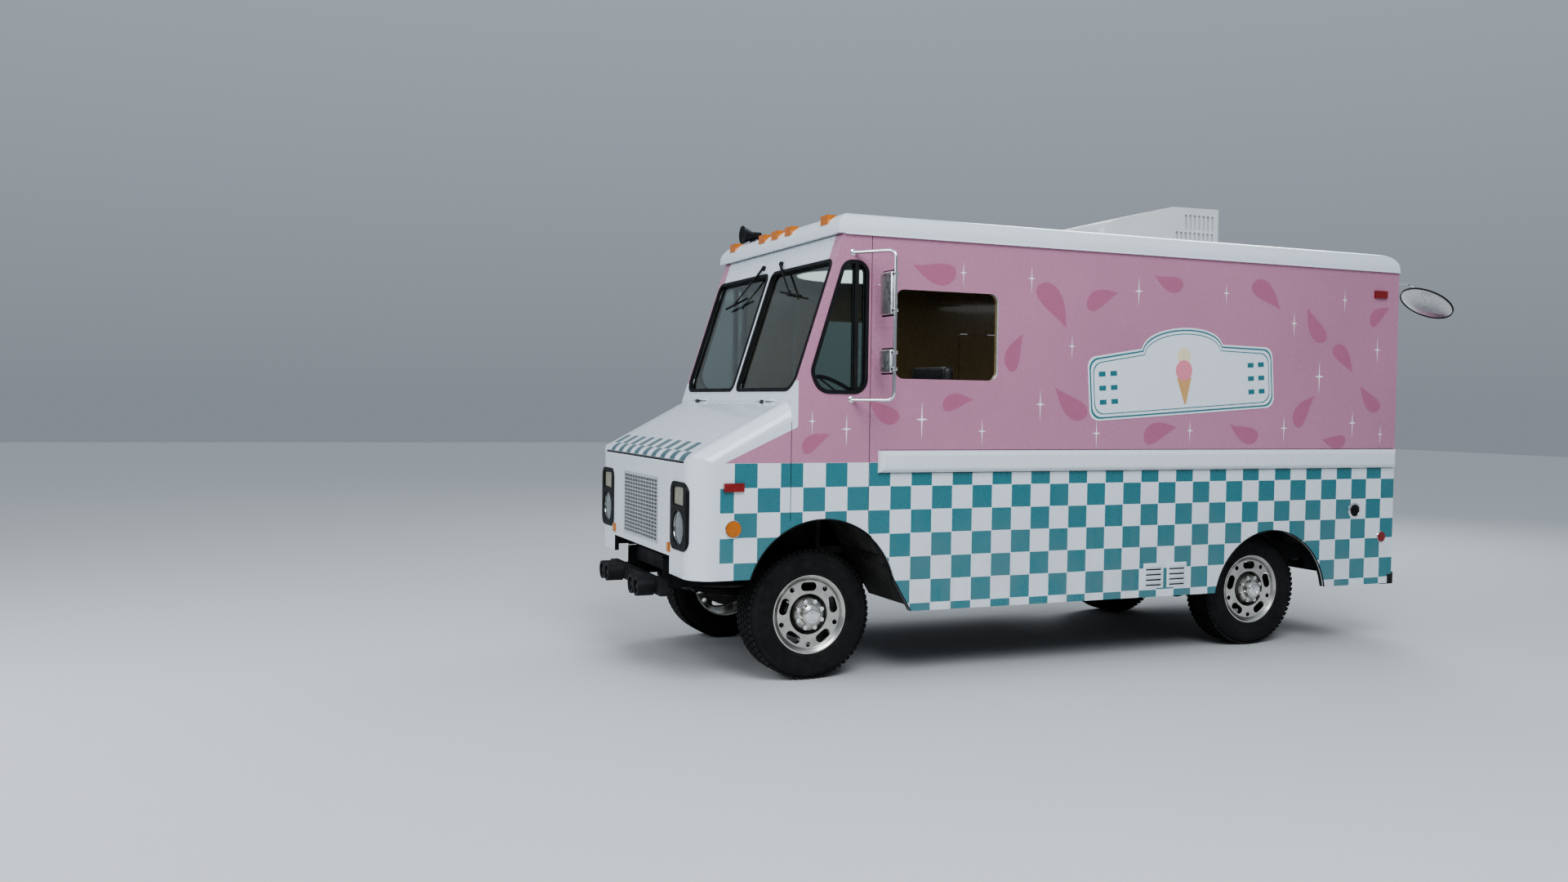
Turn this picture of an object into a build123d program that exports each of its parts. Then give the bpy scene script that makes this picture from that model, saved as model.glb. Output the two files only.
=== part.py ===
from build123d import *
import os
from math import atan2, cos, radians, sin, sqrt, tan

# Ice cream truck on a step-van body, in millimetres.
# The front looks along -Y, the driver's side is +X and up is +Z.
# The origin is on the ground, in the middle of the whole length and width.

os.makedirs("parts", exist_ok=True)

# Driving dimensions: running gear
wheelbase = 3378
tyre_r = 390
tyre_w = 235
wheel_inset = 167
rim_r = 236
rim_lip = 104
kingpin_in = 155.5
kingpin_r = 18
spindle_r = 30
arm_reach = 150
tie_rod_r = 14
running_gap = 0.3
moving_gap = 6

# Driving dimensions: body
body_half = 1000
wall = 40
skin = 28
nose_overhang = 808
tail_overhang = 1135
cowl_ahead = 211
seam_behind = 289
skirt_z = 409
nose_skirt_z = 641
floor_z = 740
floor_t = 40
eaves_z = 2640
roof_rise = 130
roof_round = 110
roof_lap = 4
visor = 39
hood_nose_z = 1330
hood_cowl_z = 1655
hood_in = 165
hood_lip_z = 1300
nose_corner_r = 150
nose_shoulder_r = 110
screen_rake = 17.93
screen_t = 34
seal_w = 22
seal_proud = 6
glass_t = 6

# Driving dimensions: frame and drive line
rail_outer = 380
rail_w = 60
rail_h = 180
rail_web = 8

# Driving dimensions: fittings
tow_eye_reach = 143
mirror_disc_r = 188
mirror_disc_t = 14
mirror_disc_tilt = 33
mirror_disc_aft = 1483
mirror_disc_in = 60
mirror_disc_z = 2440

# Places worked out from the driving dimensions
tilt = radians(mirror_disc_tilt)
rear_reach = mirror_disc_aft + mirror_disc_r * cos(tilt) + mirror_disc_t * sin(tilt)
front_reach = nose_overhang + tow_eye_reach
length = front_reach + wheelbase + rear_reach
front_axle_y = front_reach - length / 2
rear_axle_y = front_axle_y + wheelbase
nose_y = front_axle_y - nose_overhang
tail_y = rear_axle_y + tail_overhang
cowl_y = front_axle_y - cowl_ahead
seam_y = front_axle_y + seam_behind
hub_z = tyre_r
tyre_x = body_half - wheel_inset - tyre_w / 2
kingpin_x = tyre_x - kingpin_in
hood_half = body_half - hood_in
mirror_disc_x = body_half - mirror_disc_in
rail_top = floor_z - floor_t
rail_bottom = rail_top - rail_h
rail_mid = rail_outer - rail_w / 2
inner_half = body_half - wall
roof_top = eaves_z + roof_rise
rake = radians(screen_rake)
screen_top_y = cowl_y + (eaves_z - hood_cowl_z) * tan(rake)

left, right = 1, -1
both_sides = (left, right)
up, aft, ahead, across = (0, 0, 1), (0, 1, 0), (0, -1, 0), (1, 0, 0)


def at_x(x):
    return Plane.YZ.offset(x)


def at_y(y):
    return Plane.XZ.offset(-y)


def at_z(z):
    return Plane.XY.offset(z)


def block(x0, x1, y0, y1, z0, z1, mode=Mode.ADD):
    with Locations(((x0 + x1) / 2, (y0 + y1) / 2, (z0 + z1) / 2)):
        Box(abs(x1 - x0), abs(y1 - y0), abs(z1 - z0), mode=mode)


def rod(start, along, radius, length, mode=Mode.ADD):
    with BuildSketch(Plane(origin=start, z_dir=along)) as disc:
        Circle(radius)
    extrude(disc.sketch, amount=length, dir=along, mode=mode)


def prism(plane, corners, depth, mode=Mode.ADD):
    with BuildSketch(plane) as outline:
        Polygon(*corners, align=None)
    extrude(outline.sketch, amount=depth, dir=plane.z_dir, mode=mode)


def outline_of(plane, corners, shrink=0):
    with BuildSketch(plane) as outline:
        Polygon(*[(u, v) for u, v, radius in corners], align=None)
        for u, v, radius in corners:
            fillet(outline.vertices().sort_by_distance((u, v))[0], radius)
        if shrink:
            offset(amount=-shrink, mode=Mode.REPLACE)
    return outline.sketch


def soften(vertices, radius, inset):
    if inset:
        chamfer(vertices, (radius - inset) * (2 - sqrt(2)))
    else:
        fillet(vertices, radius)


def keep(piece, name):
    piece.part.label = name
    export_step(piece.part, f"parts/{name}.step")


# Tyres and wheels: one revolved section each, drawn as (distance out from the tyre's middle, radius)
tread_half = 92
bead_half = 108
bulge_r = 300
slot_ring_r = 165
slot_count = 5
slot_size = (100, 52)
small_ring_r = 182
small_hole_r = 15
corners = (
    # name, side, axle
    ("front_left", left, front_axle_y),
    ("front_right", right, front_axle_y),
    ("rear_left", left, rear_axle_y),
    ("rear_right", right, rear_axle_y),
)
tyre_section = (
    # out, radius
    (-bead_half, rim_r + running_gap), (bead_half, rim_r + running_gap), (tyre_w / 2, bulge_r),
    (tread_half, tyre_r), (-tread_half, tyre_r), (-tyre_w / 2, bulge_r),
)
rim_section = (
    # out, radius
    (-rim_lip, rim_r), (rim_lip, rim_r), (rim_lip, 228), (84, 202), (86, 122), (60, 108), (92, 96), (100, 62),
    (136, 59), (140, 52), (140, 0), (98, 0), (98, spindle_r + running_gap), (20, spindle_r + running_gap),
    (20, 96), (62, 200), (-rim_lip, 226),
)
for name, side, axle_y in corners:
    spin = Axis((0, axle_y, hub_z), (1, 0, 0))
    with BuildPart() as tyre:
        with BuildSketch(at_y(axle_y)):
            Polygon(*[(side * tyre_x + out, hub_z + r) for out, r in tyre_section], align=None)
        revolve(axis=spin)
    keep(tyre, f"tyre_{name}")

    with BuildPart() as wheel:
        with BuildSketch(at_y(axle_y)):
            Polygon(*[(side * (tyre_x + out), hub_z + r) for out, r in rim_section], align=None)
        revolve(axis=spin)
        disc_plane = Plane(origin=(side * tyre_x, axle_y, hub_z), x_dir=(0, 1, 0), z_dir=(side, 0, 0))
        with BuildSketch(disc_plane.offset(30)):
            with PolarLocations(slot_ring_r, slot_count, start_angle=18):
                SlotOverall(*slot_size, rotation=90)
            with PolarLocations(small_ring_r, slot_count, start_angle=18 + 180 / slot_count):
                Circle(small_hole_r)
        extrude(amount=70, mode=Mode.SUBTRACT)
    keep(wheel, f"wheel_{name}")

# Front axle: a dropped beam with a boss round each kingpin and a pad under each spring
boss_r = 35
boss_h = 120
beam_h = 70
beam_t = 60
beam_drop = 50
pad_z = 440
with BuildPart() as front_axle:
    with BuildSketch(at_y(front_axle_y)):
        with BuildLine():
            top, low = hub_z + beam_h / 2, hub_z - beam_h / 2
            Polyline(
                (-kingpin_x, low), (-kingpin_x, top), (-rail_outer - 60, top),
                (-rail_outer + 110, top - beam_drop), (rail_outer - 110, top - beam_drop),
                (rail_outer + 60, top), (kingpin_x, top), (kingpin_x, low), (rail_outer + 60, low),
                (rail_outer - 110, low - beam_drop), (-rail_outer + 110, low - beam_drop),
                (-rail_outer - 60, low), close=True)
        make_face()
    extrude(amount=beam_t / 2, both=True)
    for side in both_sides:
        rod((side * kingpin_x, front_axle_y, hub_z - boss_h / 2), up, boss_r, boss_h)
        block(side * (rail_mid - 30), side * (rail_mid + 30), front_axle_y - 70, front_axle_y + 70, hub_z,
              pad_z)
        rod((side * kingpin_x, front_axle_y, hub_z - boss_h / 2), up,
            kingpin_r + running_gap, boss_h, mode=Mode.SUBTRACT)
keep(front_axle, "front_axle")

# Knuckles: two ears on the kingpin, a web, the spindle, the brake drum and the steering arm
ear_t = 28
ear_r = 38
web_x = kingpin_x + 42
drum_r = 160
drum_w = 62
pin_r = 10
pin_top = 372
for side, name in ((left, "knuckle_left"), (right, "knuckle_right")):
    kingpin = (side * kingpin_x, front_axle_y)
    ear_low = hub_z - boss_h / 2 - running_gap - ear_t
    ear_high = hub_z + boss_h / 2 + running_gap
    with BuildPart() as knuckle:
        for z in (ear_low, ear_high):
            rod((*kingpin, z), up, ear_r, ear_t)
            block(side * kingpin_x, side * (web_x + 10), front_axle_y - 30, front_axle_y + 30, z, z + ear_t)
        rod((*kingpin, ear_low), up, kingpin_r, ear_high + ear_t - ear_low)
        block(side * web_x, side * (web_x + 26), front_axle_y - 34, front_axle_y + 34, ear_low,
              ear_high + ear_t)
        hub = (side * (web_x + 20), front_axle_y, hub_z)
        rod(hub, (side, 0, 0), drum_r, drum_w)
        rod(hub, (side, 0, 0), spindle_r, tyre_x + 95 - web_x - 20)
        block(side * (kingpin_x - 16), side * (kingpin_x + 16), front_axle_y, front_axle_y + arm_reach,
              ear_low, ear_low + ear_t)
        tip = (side * kingpin_x, front_axle_y + arm_reach, ear_low)
        rod(tip, up, 20, ear_t)
        rod(tip, up, pin_r, pin_top - ear_low)
    keep(knuckle, name)

# Tie rod: an eye on each steering arm's pin, the right-hand eye bored wider
eye_low = hub_z - boss_h / 2
eye_h = 30
open_eye_r = pin_r + 3
with BuildPart() as tie_rod:
    tie_y = front_axle_y + arm_reach
    rod((-kingpin_x, tie_y, eye_low + eye_h / 2), across, tie_rod_r, 2 * kingpin_x)
    for side, bore in ((left, pin_r + running_gap), (right, open_eye_r)):
        rod((side * kingpin_x, tie_y, eye_low), up, 22, eye_h)
        rod((side * kingpin_x, tie_y, eye_low), up, bore, eye_h, mode=Mode.SUBTRACT)
keep(tie_rod, "tie_rod")

# Rear axle with its differential, drums, spindles and spring pads, and the propeller shaft bolted to its nose
axle_tube_r = 50
diff_r = 165
gearbox_end_y = front_axle_y + 950
gearbox_z = 560
shaft_r = 38
pinion_y = rear_axle_y - 240
pinion_z = hub_z + 40
with BuildPart() as rear_axle:
    rod((-kingpin_x, rear_axle_y, hub_z), across, axle_tube_r, 2 * kingpin_x)
    with BuildSketch(at_y(rear_axle_y)):
        with BuildLine():
            Polyline((-150, hub_z), (-150, hub_z + 60), (-70, hub_z + diff_r), (70, hub_z + diff_r),
                     (150, hub_z + 60), (150, hub_z), close=True)
        make_face()
    revolve(axis=Axis((0, rear_axle_y, hub_z), (1, 0, 0)))
    rod((0, rear_axle_y, hub_z), (0, pinion_y - rear_axle_y, pinion_z - hub_z),
        60, sqrt((pinion_y - rear_axle_y) ** 2 + (pinion_z - hub_z) ** 2))
    for side in both_sides:
        hub = (side * (kingpin_x - 1), rear_axle_y, hub_z)
        rod(hub, (side, 0, 0), drum_r, 130)
        rod(hub, (side, 0, 0), spindle_r, tyre_x + 95 - kingpin_x + 1)
        block(side * (rail_mid - 30), side * (rail_mid + 30), rear_axle_y - 70, rear_axle_y + 70, hub_z,
              pad_z)
keep(rear_axle, "rear_axle")

shaft_run = (gearbox_end_y - pinion_y, gearbox_z - pinion_z)
shaft_length = sqrt(shaft_run[0] ** 2 + shaft_run[1] ** 2)
shaft_tilt = atan2(shaft_run[1], -shaft_run[0])
pinion_tilt = atan2(pinion_z - hub_z, rear_axle_y - pinion_y)
yoke_r = 58
flange_r = 52
flange_t = 26
yoke_gap = yoke_r * abs(tan(pinion_tilt - shaft_tilt)) + running_gap
flange_gap = flange_r * abs(tan(shaft_tilt)) + running_gap
shaft_parts = (
    # start, radius, length
    (yoke_gap + 2, shaft_r, shaft_length - yoke_gap - flange_gap - 4),
    (yoke_gap, yoke_r, flange_t),
    (shaft_length - flange_gap - flange_t, flange_r, flange_t),
)
with BuildPart() as propshaft:
    for start, radius, run in shaft_parts:
        part_way = start / shaft_length
        rod((0, pinion_y + shaft_run[0] * part_way, pinion_z + shaft_run[1] * part_way), (0, *shaft_run),
            radius, run)
keep(propshaft, "propshaft")

# Leaf springs: each a bowed pack from eye to eye, sitting on its axle's pad
spring_reach = 560
spring_eye_r = 18
spring_mid_t = 44
spring_end_t = 10
eye_z = rail_bottom - running_gap - spring_eye_r
with BuildPart() as leaf_springs:
    for axle_y in (front_axle_y, rear_axle_y):
        low_mid, high_mid = pad_z + running_gap, pad_z + running_gap + spring_mid_t
        for side in both_sides:
            with BuildSketch(at_x(side * rail_mid)):
                with BuildLine():
                    a = (axle_y - spring_reach, eye_z - spring_end_t)
                    b = (axle_y + spring_reach, eye_z - spring_end_t)
                    c = (axle_y + spring_reach, eye_z + spring_end_t)
                    d = (axle_y - spring_reach, eye_z + spring_end_t)
                    ThreePointArc(a, (axle_y, low_mid), b)
                    Line(b, c)
                    ThreePointArc(c, (axle_y, high_mid), d)
                    Line(d, a)
                make_face()
                with Locations((axle_y - spring_reach, eye_z), (axle_y + spring_reach, eye_z)):
                    Circle(spring_eye_r)
            extrude(amount=rail_w / 2, both=True)
keep(leaf_springs, "leaf_springs")

# Chassis frame: two channel rails and the cross members that tie them
cross_members = (
    # distance behind the front axle, height
    (-700, 90),
    (900, 60),
    (1950, 60),
    (2720, 60),
    (wheelbase + 620, 60),
    (wheelbase + tail_overhang - wall - 60, 90),
)
frame_front_y = nose_y + 30
frame_back_y = tail_y - wall
with BuildPart() as chassis_frame:
    for side in both_sides:
        block(side * (rail_outer - rail_w), side * rail_outer, frame_front_y, frame_back_y, rail_bottom,
              rail_top)
        block(side * (rail_outer - rail_w), side * (rail_outer - rail_web), frame_front_y, frame_back_y,
              rail_bottom + rail_web, rail_top - rail_web, mode=Mode.SUBTRACT)
    for behind, height in cross_members:
        y = front_axle_y + behind
        block(-rail_outer + rail_web, rail_outer - rail_web, y - 30, y + 30, rail_top - height, rail_top)
keep(chassis_frame, "chassis_frame")

# Engine and gearbox: one plain block at its real place and size
engine_half = 240
engine_front_y = front_axle_y - 560
engine_back_y = front_axle_y + 330
engine_low = 470
engine_top = 1140
with BuildPart() as engine:
    block(-engine_half, engine_half, engine_front_y, engine_back_y, engine_low, engine_top)
    chamfer(engine.edges().filter_by(Axis.Y), 70)
    with BuildSketch(at_y(engine_back_y - 1)):
        with Locations((0, gearbox_z)):
            Circle(150)
    with BuildSketch(at_y(gearbox_end_y)):
        with Locations((0, gearbox_z)):
            Circle(60)
    loft(ruled=True)
    for side in both_sides:
        block(side * (engine_half - 10), side * (rail_outer - rail_web - running_gap), front_axle_y - 60,
              front_axle_y + 20, 600, 660)
keep(engine, "engine")

# Fuel tank on the left rail and exhaust on the right rail
tank_w = 430
tank_y = front_axle_y + 1500
tank_len = 800
tank_low = 392
tank_high = 660
with BuildPart() as fuel_tank:
    block(rail_outer + 10, rail_outer + 10 + tank_w, tank_y, tank_y + tank_len, tank_low, tank_high)
    fillet(fuel_tank.edges().filter_by(Axis.Y), 60)
    for y in (tank_y + 150, tank_y + tank_len - 150):
        block(rail_outer, rail_outer + 12, y - 30, y + 30, 540, 600)
keep(fuel_tank, "fuel_tank")

pipe_r = 27
muffler_r = 85
muffler_y = front_axle_y + 1450
muffler_len = 640
down_pipe_x = -275
exhaust_x = -500
exhaust_z = 468
hanger_z = 600
tail_pipe_y = rear_axle_y - 620
with BuildPart() as exhaust:
    with BuildLine() as exhaust_run:
        FilletPolyline(
            (down_pipe_x, engine_back_y + 40, exhaust_z), (down_pipe_x, engine_back_y + 330, exhaust_z),
            (exhaust_x, engine_back_y + 560, exhaust_z), (exhaust_x, tail_pipe_y, exhaust_z),
            (exhaust_x - 400, tail_pipe_y + 60, exhaust_z), radius=110)
    with BuildSketch(Plane(origin=exhaust_run.line @ 0, z_dir=exhaust_run.line % 0)):
        Circle(pipe_r)
    sweep()
    rod((exhaust_x, muffler_y, exhaust_z), aft, muffler_r, muffler_len)
    for y in (muffler_y - 60, muffler_y + muffler_len + 60):
        block(exhaust_x, -rail_outer - running_gap, y - 15, y + 15, exhaust_z - 10, exhaust_z + 10)
        block(-rail_outer - 14, -rail_outer - running_gap, y - 15, y + 15, exhaust_z - 10, hanger_z)
keep(exhaust, "exhaust")

# Wheel arches in the sides: a round front arch with a sloping rear edge, and a round rear arch
front_arch = (front_axle_y + 3, 496, 478)
front_slope = ((front_axle_y + 307, 865), (front_axle_y + 583, skirt_z - 1))
rear_arch = (rear_axle_y + 12, 327, 490)


def cut_arches(x0, x1):
    for y, z, radius in (front_arch, rear_arch):
        rod((x0, y, z), across, radius, x1 - x0, mode=Mode.SUBTRACT)
    wedge = (*front_slope, (front_axle_y - 300, skirt_z - 1), (front_axle_y, 800))
    prism(at_x(x0), wedge, x1 - x0, mode=Mode.SUBTRACT)


# Floor: the load floor with a box over each rear wheel, and the raised cab platform with its liners
platform_z = 1020
platform_t = 20
liner_t = 12
tunnel_half = 300
step_y0 = front_axle_y + 660
step_y1 = front_axle_y + 1360
door_travel = 660
door_t = 30
door_gap = 5
wheel_box_half = 430
wheel_box_top = 850
wheel_box_in = tyre_x - tyre_w / 2 - 43
step_z = 480
step_in = body_half - 300
edge = inner_half - running_gap
pocket_edge = inner_half - door_gap - door_t - door_gap
slope_y1 = front_slope[1][0] + 25
floor_front = slope_y1 - (floor_z - skirt_z) * (front_slope[1][0] - front_slope[0][0]) / (865 - skirt_z)
with BuildPart() as floor:
    block(-edge, edge, floor_front, tail_y - wall - running_gap, rail_top, floor_z)
    block(-tunnel_half, tunnel_half, floor_front - 1, front_axle_y + 520, rail_top, floor_z,
          mode=Mode.SUBTRACT)
    block(-edge - 1, -pocket_edge, step_y0 - 40, step_y1 + door_travel + 40, rail_top, floor_z,
          mode=Mode.SUBTRACT)
    block(-edge - 1, -step_in, step_y0, step_y1, rail_top, floor_z, mode=Mode.SUBTRACT)
    for side in both_sides:
        block(side * wheel_box_in, side * edge, rear_axle_y - wheel_box_half, rear_axle_y + wheel_box_half,
              rail_top, wheel_box_top)
        block(side * (wheel_box_in + liner_t), side * (edge + 1), rear_axle_y - wheel_box_half + liner_t,
              rear_axle_y + wheel_box_half - liner_t, rail_top - 1, wheel_box_top - liner_t,
              mode=Mode.SUBTRACT)
        x0, x1 = sorted((side * (rail_outer + 12), side * edge))
        with BuildSketch(at_x(x0)):
            with BuildLine():
                run = (front_slope[1][0] - front_slope[0][0]) / (865 - skirt_z)
                y_top = slope_y1 - (platform_z - skirt_z) * run
                Polyline((slope_y1, skirt_z + 20), (slope_y1 + 14, skirt_z + 20), (y_top + 14, platform_z),
                         (y_top, platform_z), close=True)
            make_face()
        extrude(amount=x1 - x0)
        block(side * (tunnel_half + 40), side * edge, cowl_y + wall + running_gap, y_top + 14,
              platform_z - platform_t, platform_z)
        block(side * (tunnel_half + 40), side * (rail_outer + 12), y_top - 6, y_top + 14, rail_top,
              platform_z)
        block(side * (tunnel_half + 40), side * (rail_outer + 12), y_top - 6, floor_front + 20, rail_top,
              floor_z)
    block(-edge, edge, rear_axle_y - wheel_box_half - 16, rear_axle_y - wheel_box_half - 12, floor_z - 1,
          floor_z + 1, mode=Mode.SUBTRACT)
    block(-edge + 90, -step_in, step_y0 + 10, step_y1 - 10, step_z, step_z + 20)
    block(-step_in - 12, -step_in, step_y0 + 10, step_y1 - 10, step_z, floor_z)
keep(floor, "floor")

# Side walls: window, doorway and serving hatch cut, arches cut, eaves under the roof
window_y0 = front_axle_y + 451
window_y1 = front_axle_y + 1161
window_z0 = 1801
window_z1 = 2331
window_round = 55
doorway_z0 = 470
doorway_z1 = 2400
doorway_round = 40
hatch_y0 = rear_axle_y - 1330
hatch_y1 = rear_axle_y - 130
hatch_z0 = 1430
hatch_z1 = 2210
runner_h = 24
barrel_r = 9
barrel_len = 60
pin_out = 12
leaf_t = 4


def wall_plate(side):
    x0, x1 = sorted((side * inner_half, side * body_half))
    block(x0, x1, seam_y + running_gap, tail_y - wall - running_gap, skirt_z, eaves_z - running_gap)
    cut_arches(x0 - 1, x1 + 1)


def cut_window(x0, depth, y0, y1, z0, z1, radius):
    with BuildSketch(at_x(x0)) as opening:
        with Locations(((y0 + y1) / 2, (z0 + z1) / 2)):
            RectangleRounded(y1 - y0, z1 - z0, radius)
    extrude(opening.sketch, amount=depth, mode=Mode.SUBTRACT)


with BuildPart() as left_wall:
    wall_plate(left)
    cut_window(inner_half - 1, wall + 2, window_y0, window_y1, window_z0, window_z1, window_round)
keep(left_wall, "left_wall")

hatch_pin_z = hatch_z1
hatch_hinges = [hatch_y0 + 200, (hatch_y0 + hatch_y1) / 2, hatch_y1 - 200]
shelf_pin_x = body_half + 52
shelf_pin_z = 1402
shelf_hinges = [hatch_y0 + 180, hatch_y1 - 180]
with BuildPart() as right_wall:
    wall_plate(right)
    cut_window(-body_half - 1, wall + 2, step_y0, step_y1, doorway_z0, doorway_z1, doorway_round)
    cut_window(-body_half - 1, wall + 2, hatch_y0, hatch_y1, hatch_z0, hatch_z1, 30)
    block(-inner_half, -pocket_edge, step_y0 - 20, step_y1 + door_travel + 25, doorway_z1 + 25,
          doorway_z1 + 25 + runner_h)
    for y in hatch_hinges:
        for end in (y - barrel_len - running_gap, y + barrel_len + running_gap):
            rod((-body_half - pin_out, end - barrel_len / 2, hatch_pin_z), aft, barrel_r, barrel_len)
            block(-body_half - leaf_t, -body_half, end - barrel_len / 2, end + barrel_len / 2,
                  hatch_pin_z + moving_gap, hatch_pin_z + 60)
            block(-body_half - pin_out, -body_half, end - barrel_len / 2, end + barrel_len / 2,
                  hatch_pin_z + moving_gap - 2, hatch_pin_z + moving_gap + 4)
    for y in shelf_hinges:
        for end in (y - 40 - running_gap, y + 40 + running_gap):
            block(-shelf_pin_x, -body_half, end - 20, end + 20, shelf_pin_z - 8, shelf_pin_z + 8)
            rod((-shelf_pin_x, end - 20, shelf_pin_z), aft, 8, 40)
keep(right_wall, "right_wall")

# Sliding side door: runs on the runner inside the right wall
door_z0 = doorway_z0 - 20
door_z1 = doorway_z1 + 25 - running_gap
door_y0 = step_y0 - 20
door_y1 = step_y1 + 20
door_x0 = -inner_half + door_gap
door_window = (door_y0 + 130, door_y1 - 130, 1500, 2260)
with BuildPart() as side_door:
    block(door_x0, door_x0 + door_t, door_y0, door_y1, door_z0, door_z1)
    cut_window(door_x0 - 1, door_t + 2, *door_window, 60)
    block(door_x0 - 1, door_x0 + 16, door_y0 + 50, door_y0 + 110, 1250, 1400, mode=Mode.SUBTRACT)
keep(side_door, "side_door")

with BuildPart() as side_door_glass:
    with BuildSketch(at_x(door_x0 + door_t / 2 - glass_t / 2)):
        y0, y1, z0, z1 = door_window
        with Locations(((y0 + y1) / 2, (z0 + z1) / 2)):
            RectangleRounded(y1 - y0 - 2 * running_gap, z1 - z0 - 2 * running_gap, 60)
    extrude(amount=glass_t)
keep(side_door_glass, "side_door_glass")

# Serving flap: hinged along its top edge, and the shelf that hangs below it
with BuildPart() as serving_flap:
    block(-body_half, -inner_half, hatch_y0 + moving_gap, hatch_y1 - moving_gap, hatch_z0 + moving_gap,
          hatch_z1 - moving_gap)
    fillet(serving_flap.edges().filter_by(Axis.X), 26)
    for y in hatch_hinges:
        rod((-body_half - pin_out, y - barrel_len / 2, hatch_pin_z), aft, barrel_r, barrel_len)
        block(-body_half - pin_out, -body_half + 1, y - barrel_len / 2, y + barrel_len / 2,
              hatch_pin_z - moving_gap - 4, hatch_pin_z - moving_gap + 2)
        block(-body_half - leaf_t, -body_half, y - barrel_len / 2, y + barrel_len / 2,
              hatch_pin_z - 70, hatch_pin_z - moving_gap)
    block(-body_half - 28, -body_half, (hatch_y0 + hatch_y1) / 2 - 60, (hatch_y0 + hatch_y1) / 2 + 60,
          hatch_z0 + 60, hatch_z0 + 80)
keep(serving_flap, "serving_flap")

shelf_t = 20
shelf_drop = 250
with BuildPart() as serving_shelf:
    block(-shelf_pin_x - shelf_t / 2, -shelf_pin_x + shelf_t / 2, hatch_y0 + 60, hatch_y1 - 60,
          shelf_pin_z - 14 - shelf_drop, shelf_pin_z - 14)
    fillet(serving_shelf.edges().filter_by(Axis.X), 20)
    for y in shelf_hinges:
        rod((-shelf_pin_x, y - 20, shelf_pin_z), aft, 8, 40)
        block(-shelf_pin_x - 5, -shelf_pin_x + 5, y - 20, y + 20, shelf_pin_z - 20, shelf_pin_z)
keep(serving_shelf, "serving_shelf")

# Roof: a cap rounded along its eaves and over its ends
roof_front_y = screen_top_y - visor
roof_back_y = tail_y + roof_lap


def roof_form(inset):
    half = body_half + roof_lap - inset
    y0, y1 = roof_front_y + inset, roof_back_y - inset
    base = eaves_z - (1 if inset else 0)
    with BuildPart() as form:
        with BuildSketch(at_y(y1)) as across:
            with Locations((0, (base + roof_top - inset) / 2)):
                Rectangle(2 * half, roof_top - inset - base)
            soften(across.vertices().group_by(Axis.Y)[-1], roof_round, inset)
        extrude(amount=y1 - y0)
        with BuildSketch(at_x(-half)) as along:
            with Locations(((y0 + y1) / 2, (base + roof_top - inset) / 2)):
                Rectangle(y1 - y0, roof_top - inset - base)
            soften(along.vertices().group_by(Axis.Y)[-1], roof_round, inset)
        extrude(amount=2 * half, mode=Mode.INTERSECT)
    return form.part


roof_outer = roof_form(0)
roof_inner = roof_form(skin)
cooler_y0 = front_axle_y + 2400
roof_seams = (seam_y, cooler_y0 - 60)
with BuildPart() as roof:
    add(roof_outer)
    add(roof_inner, mode=Mode.SUBTRACT)
    for y in roof_seams:
        block(-body_half, body_half, y - 2, y + 2, roof_top - 1, roof_top + 1, mode=Mode.SUBTRACT)
keep(roof, "roof")

# Nose: a lofted form with rounded shoulders and corners, hollowed, then parted into the nose and the hood
slope_len = cowl_y - nose_y
slope_rise = hood_cowl_z - hood_nose_z
drop_per_skin = sqrt(slope_len ** 2 + slope_rise ** 2) / slope_len
hood_lip_r = 85


def nose_form(inset):
    half = body_half - inset
    low = nose_skirt_z - (40 if inset else 0)
    y0 = nose_y + inset
    z0 = hood_nose_z + inset * slope_rise / slope_len - inset * drop_per_skin
    z1 = hood_cowl_z - inset * drop_per_skin
    with BuildPart() as form:
        for y, z in ((y0, z0), (cowl_y - running_gap, z1)):
            with BuildSketch(at_y(y)) as section:
                with Locations((0, (low + z) / 2)):
                    Rectangle(2 * half, z - low)
                soften(section.vertices().group_by(Axis.Y)[-1], nose_shoulder_r, inset)
        loft(ruled=True)
        with BuildSketch(at_z(low)) as plan:
            with Locations((0, (y0 + cowl_y) / 2)):
                Rectangle(2 * half, cowl_y - y0)
            soften(plan.vertices().group_by(Axis.Y)[0], nose_corner_r, inset)
        extrude(amount=hood_cowl_z, mode=Mode.INTERSECT)
        with BuildSketch(at_x(-half)) as profile:
            with BuildLine():
                Polyline((y0, low), (y0, z0), (cowl_y - running_gap, z1), (cowl_y - running_gap, low),
                         close=True)
            make_face()
            soften(profile.vertices().sort_by_distance((y0, z0))[0], hood_lip_r, inset)
        extrude(amount=2 * half, mode=Mode.INTERSECT)
    return form.part


nose_outer = nose_form(0)
nose_inner = nose_form(skin)
hood_gap = moving_gap / 2
hood_hinge_y = cowl_y - 14
hood_hinge_z = hood_cowl_z + 10
grille_half = 368
grille_z0 = 790
grille_z1 = 1192
grille_t = 22
bezel_x0 = body_half - 370
bezel_x1 = body_half - 85
bezel_z0 = 797
bezel_z1 = 1190
bezel_round = 62
bezel_proud = 8
fascia_z = 745
fascia_half = body_half - 400


def lamp_outline(side, shrink):
    with Locations((side * (bezel_x0 + bezel_x1) / 2, (bezel_z0 + bezel_z1) / 2)):
        RectangleRounded(bezel_x1 - bezel_x0 - 2 * shrink, bezel_z1 - bezel_z0 - 2 * shrink,
                         bezel_round - shrink)


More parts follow.
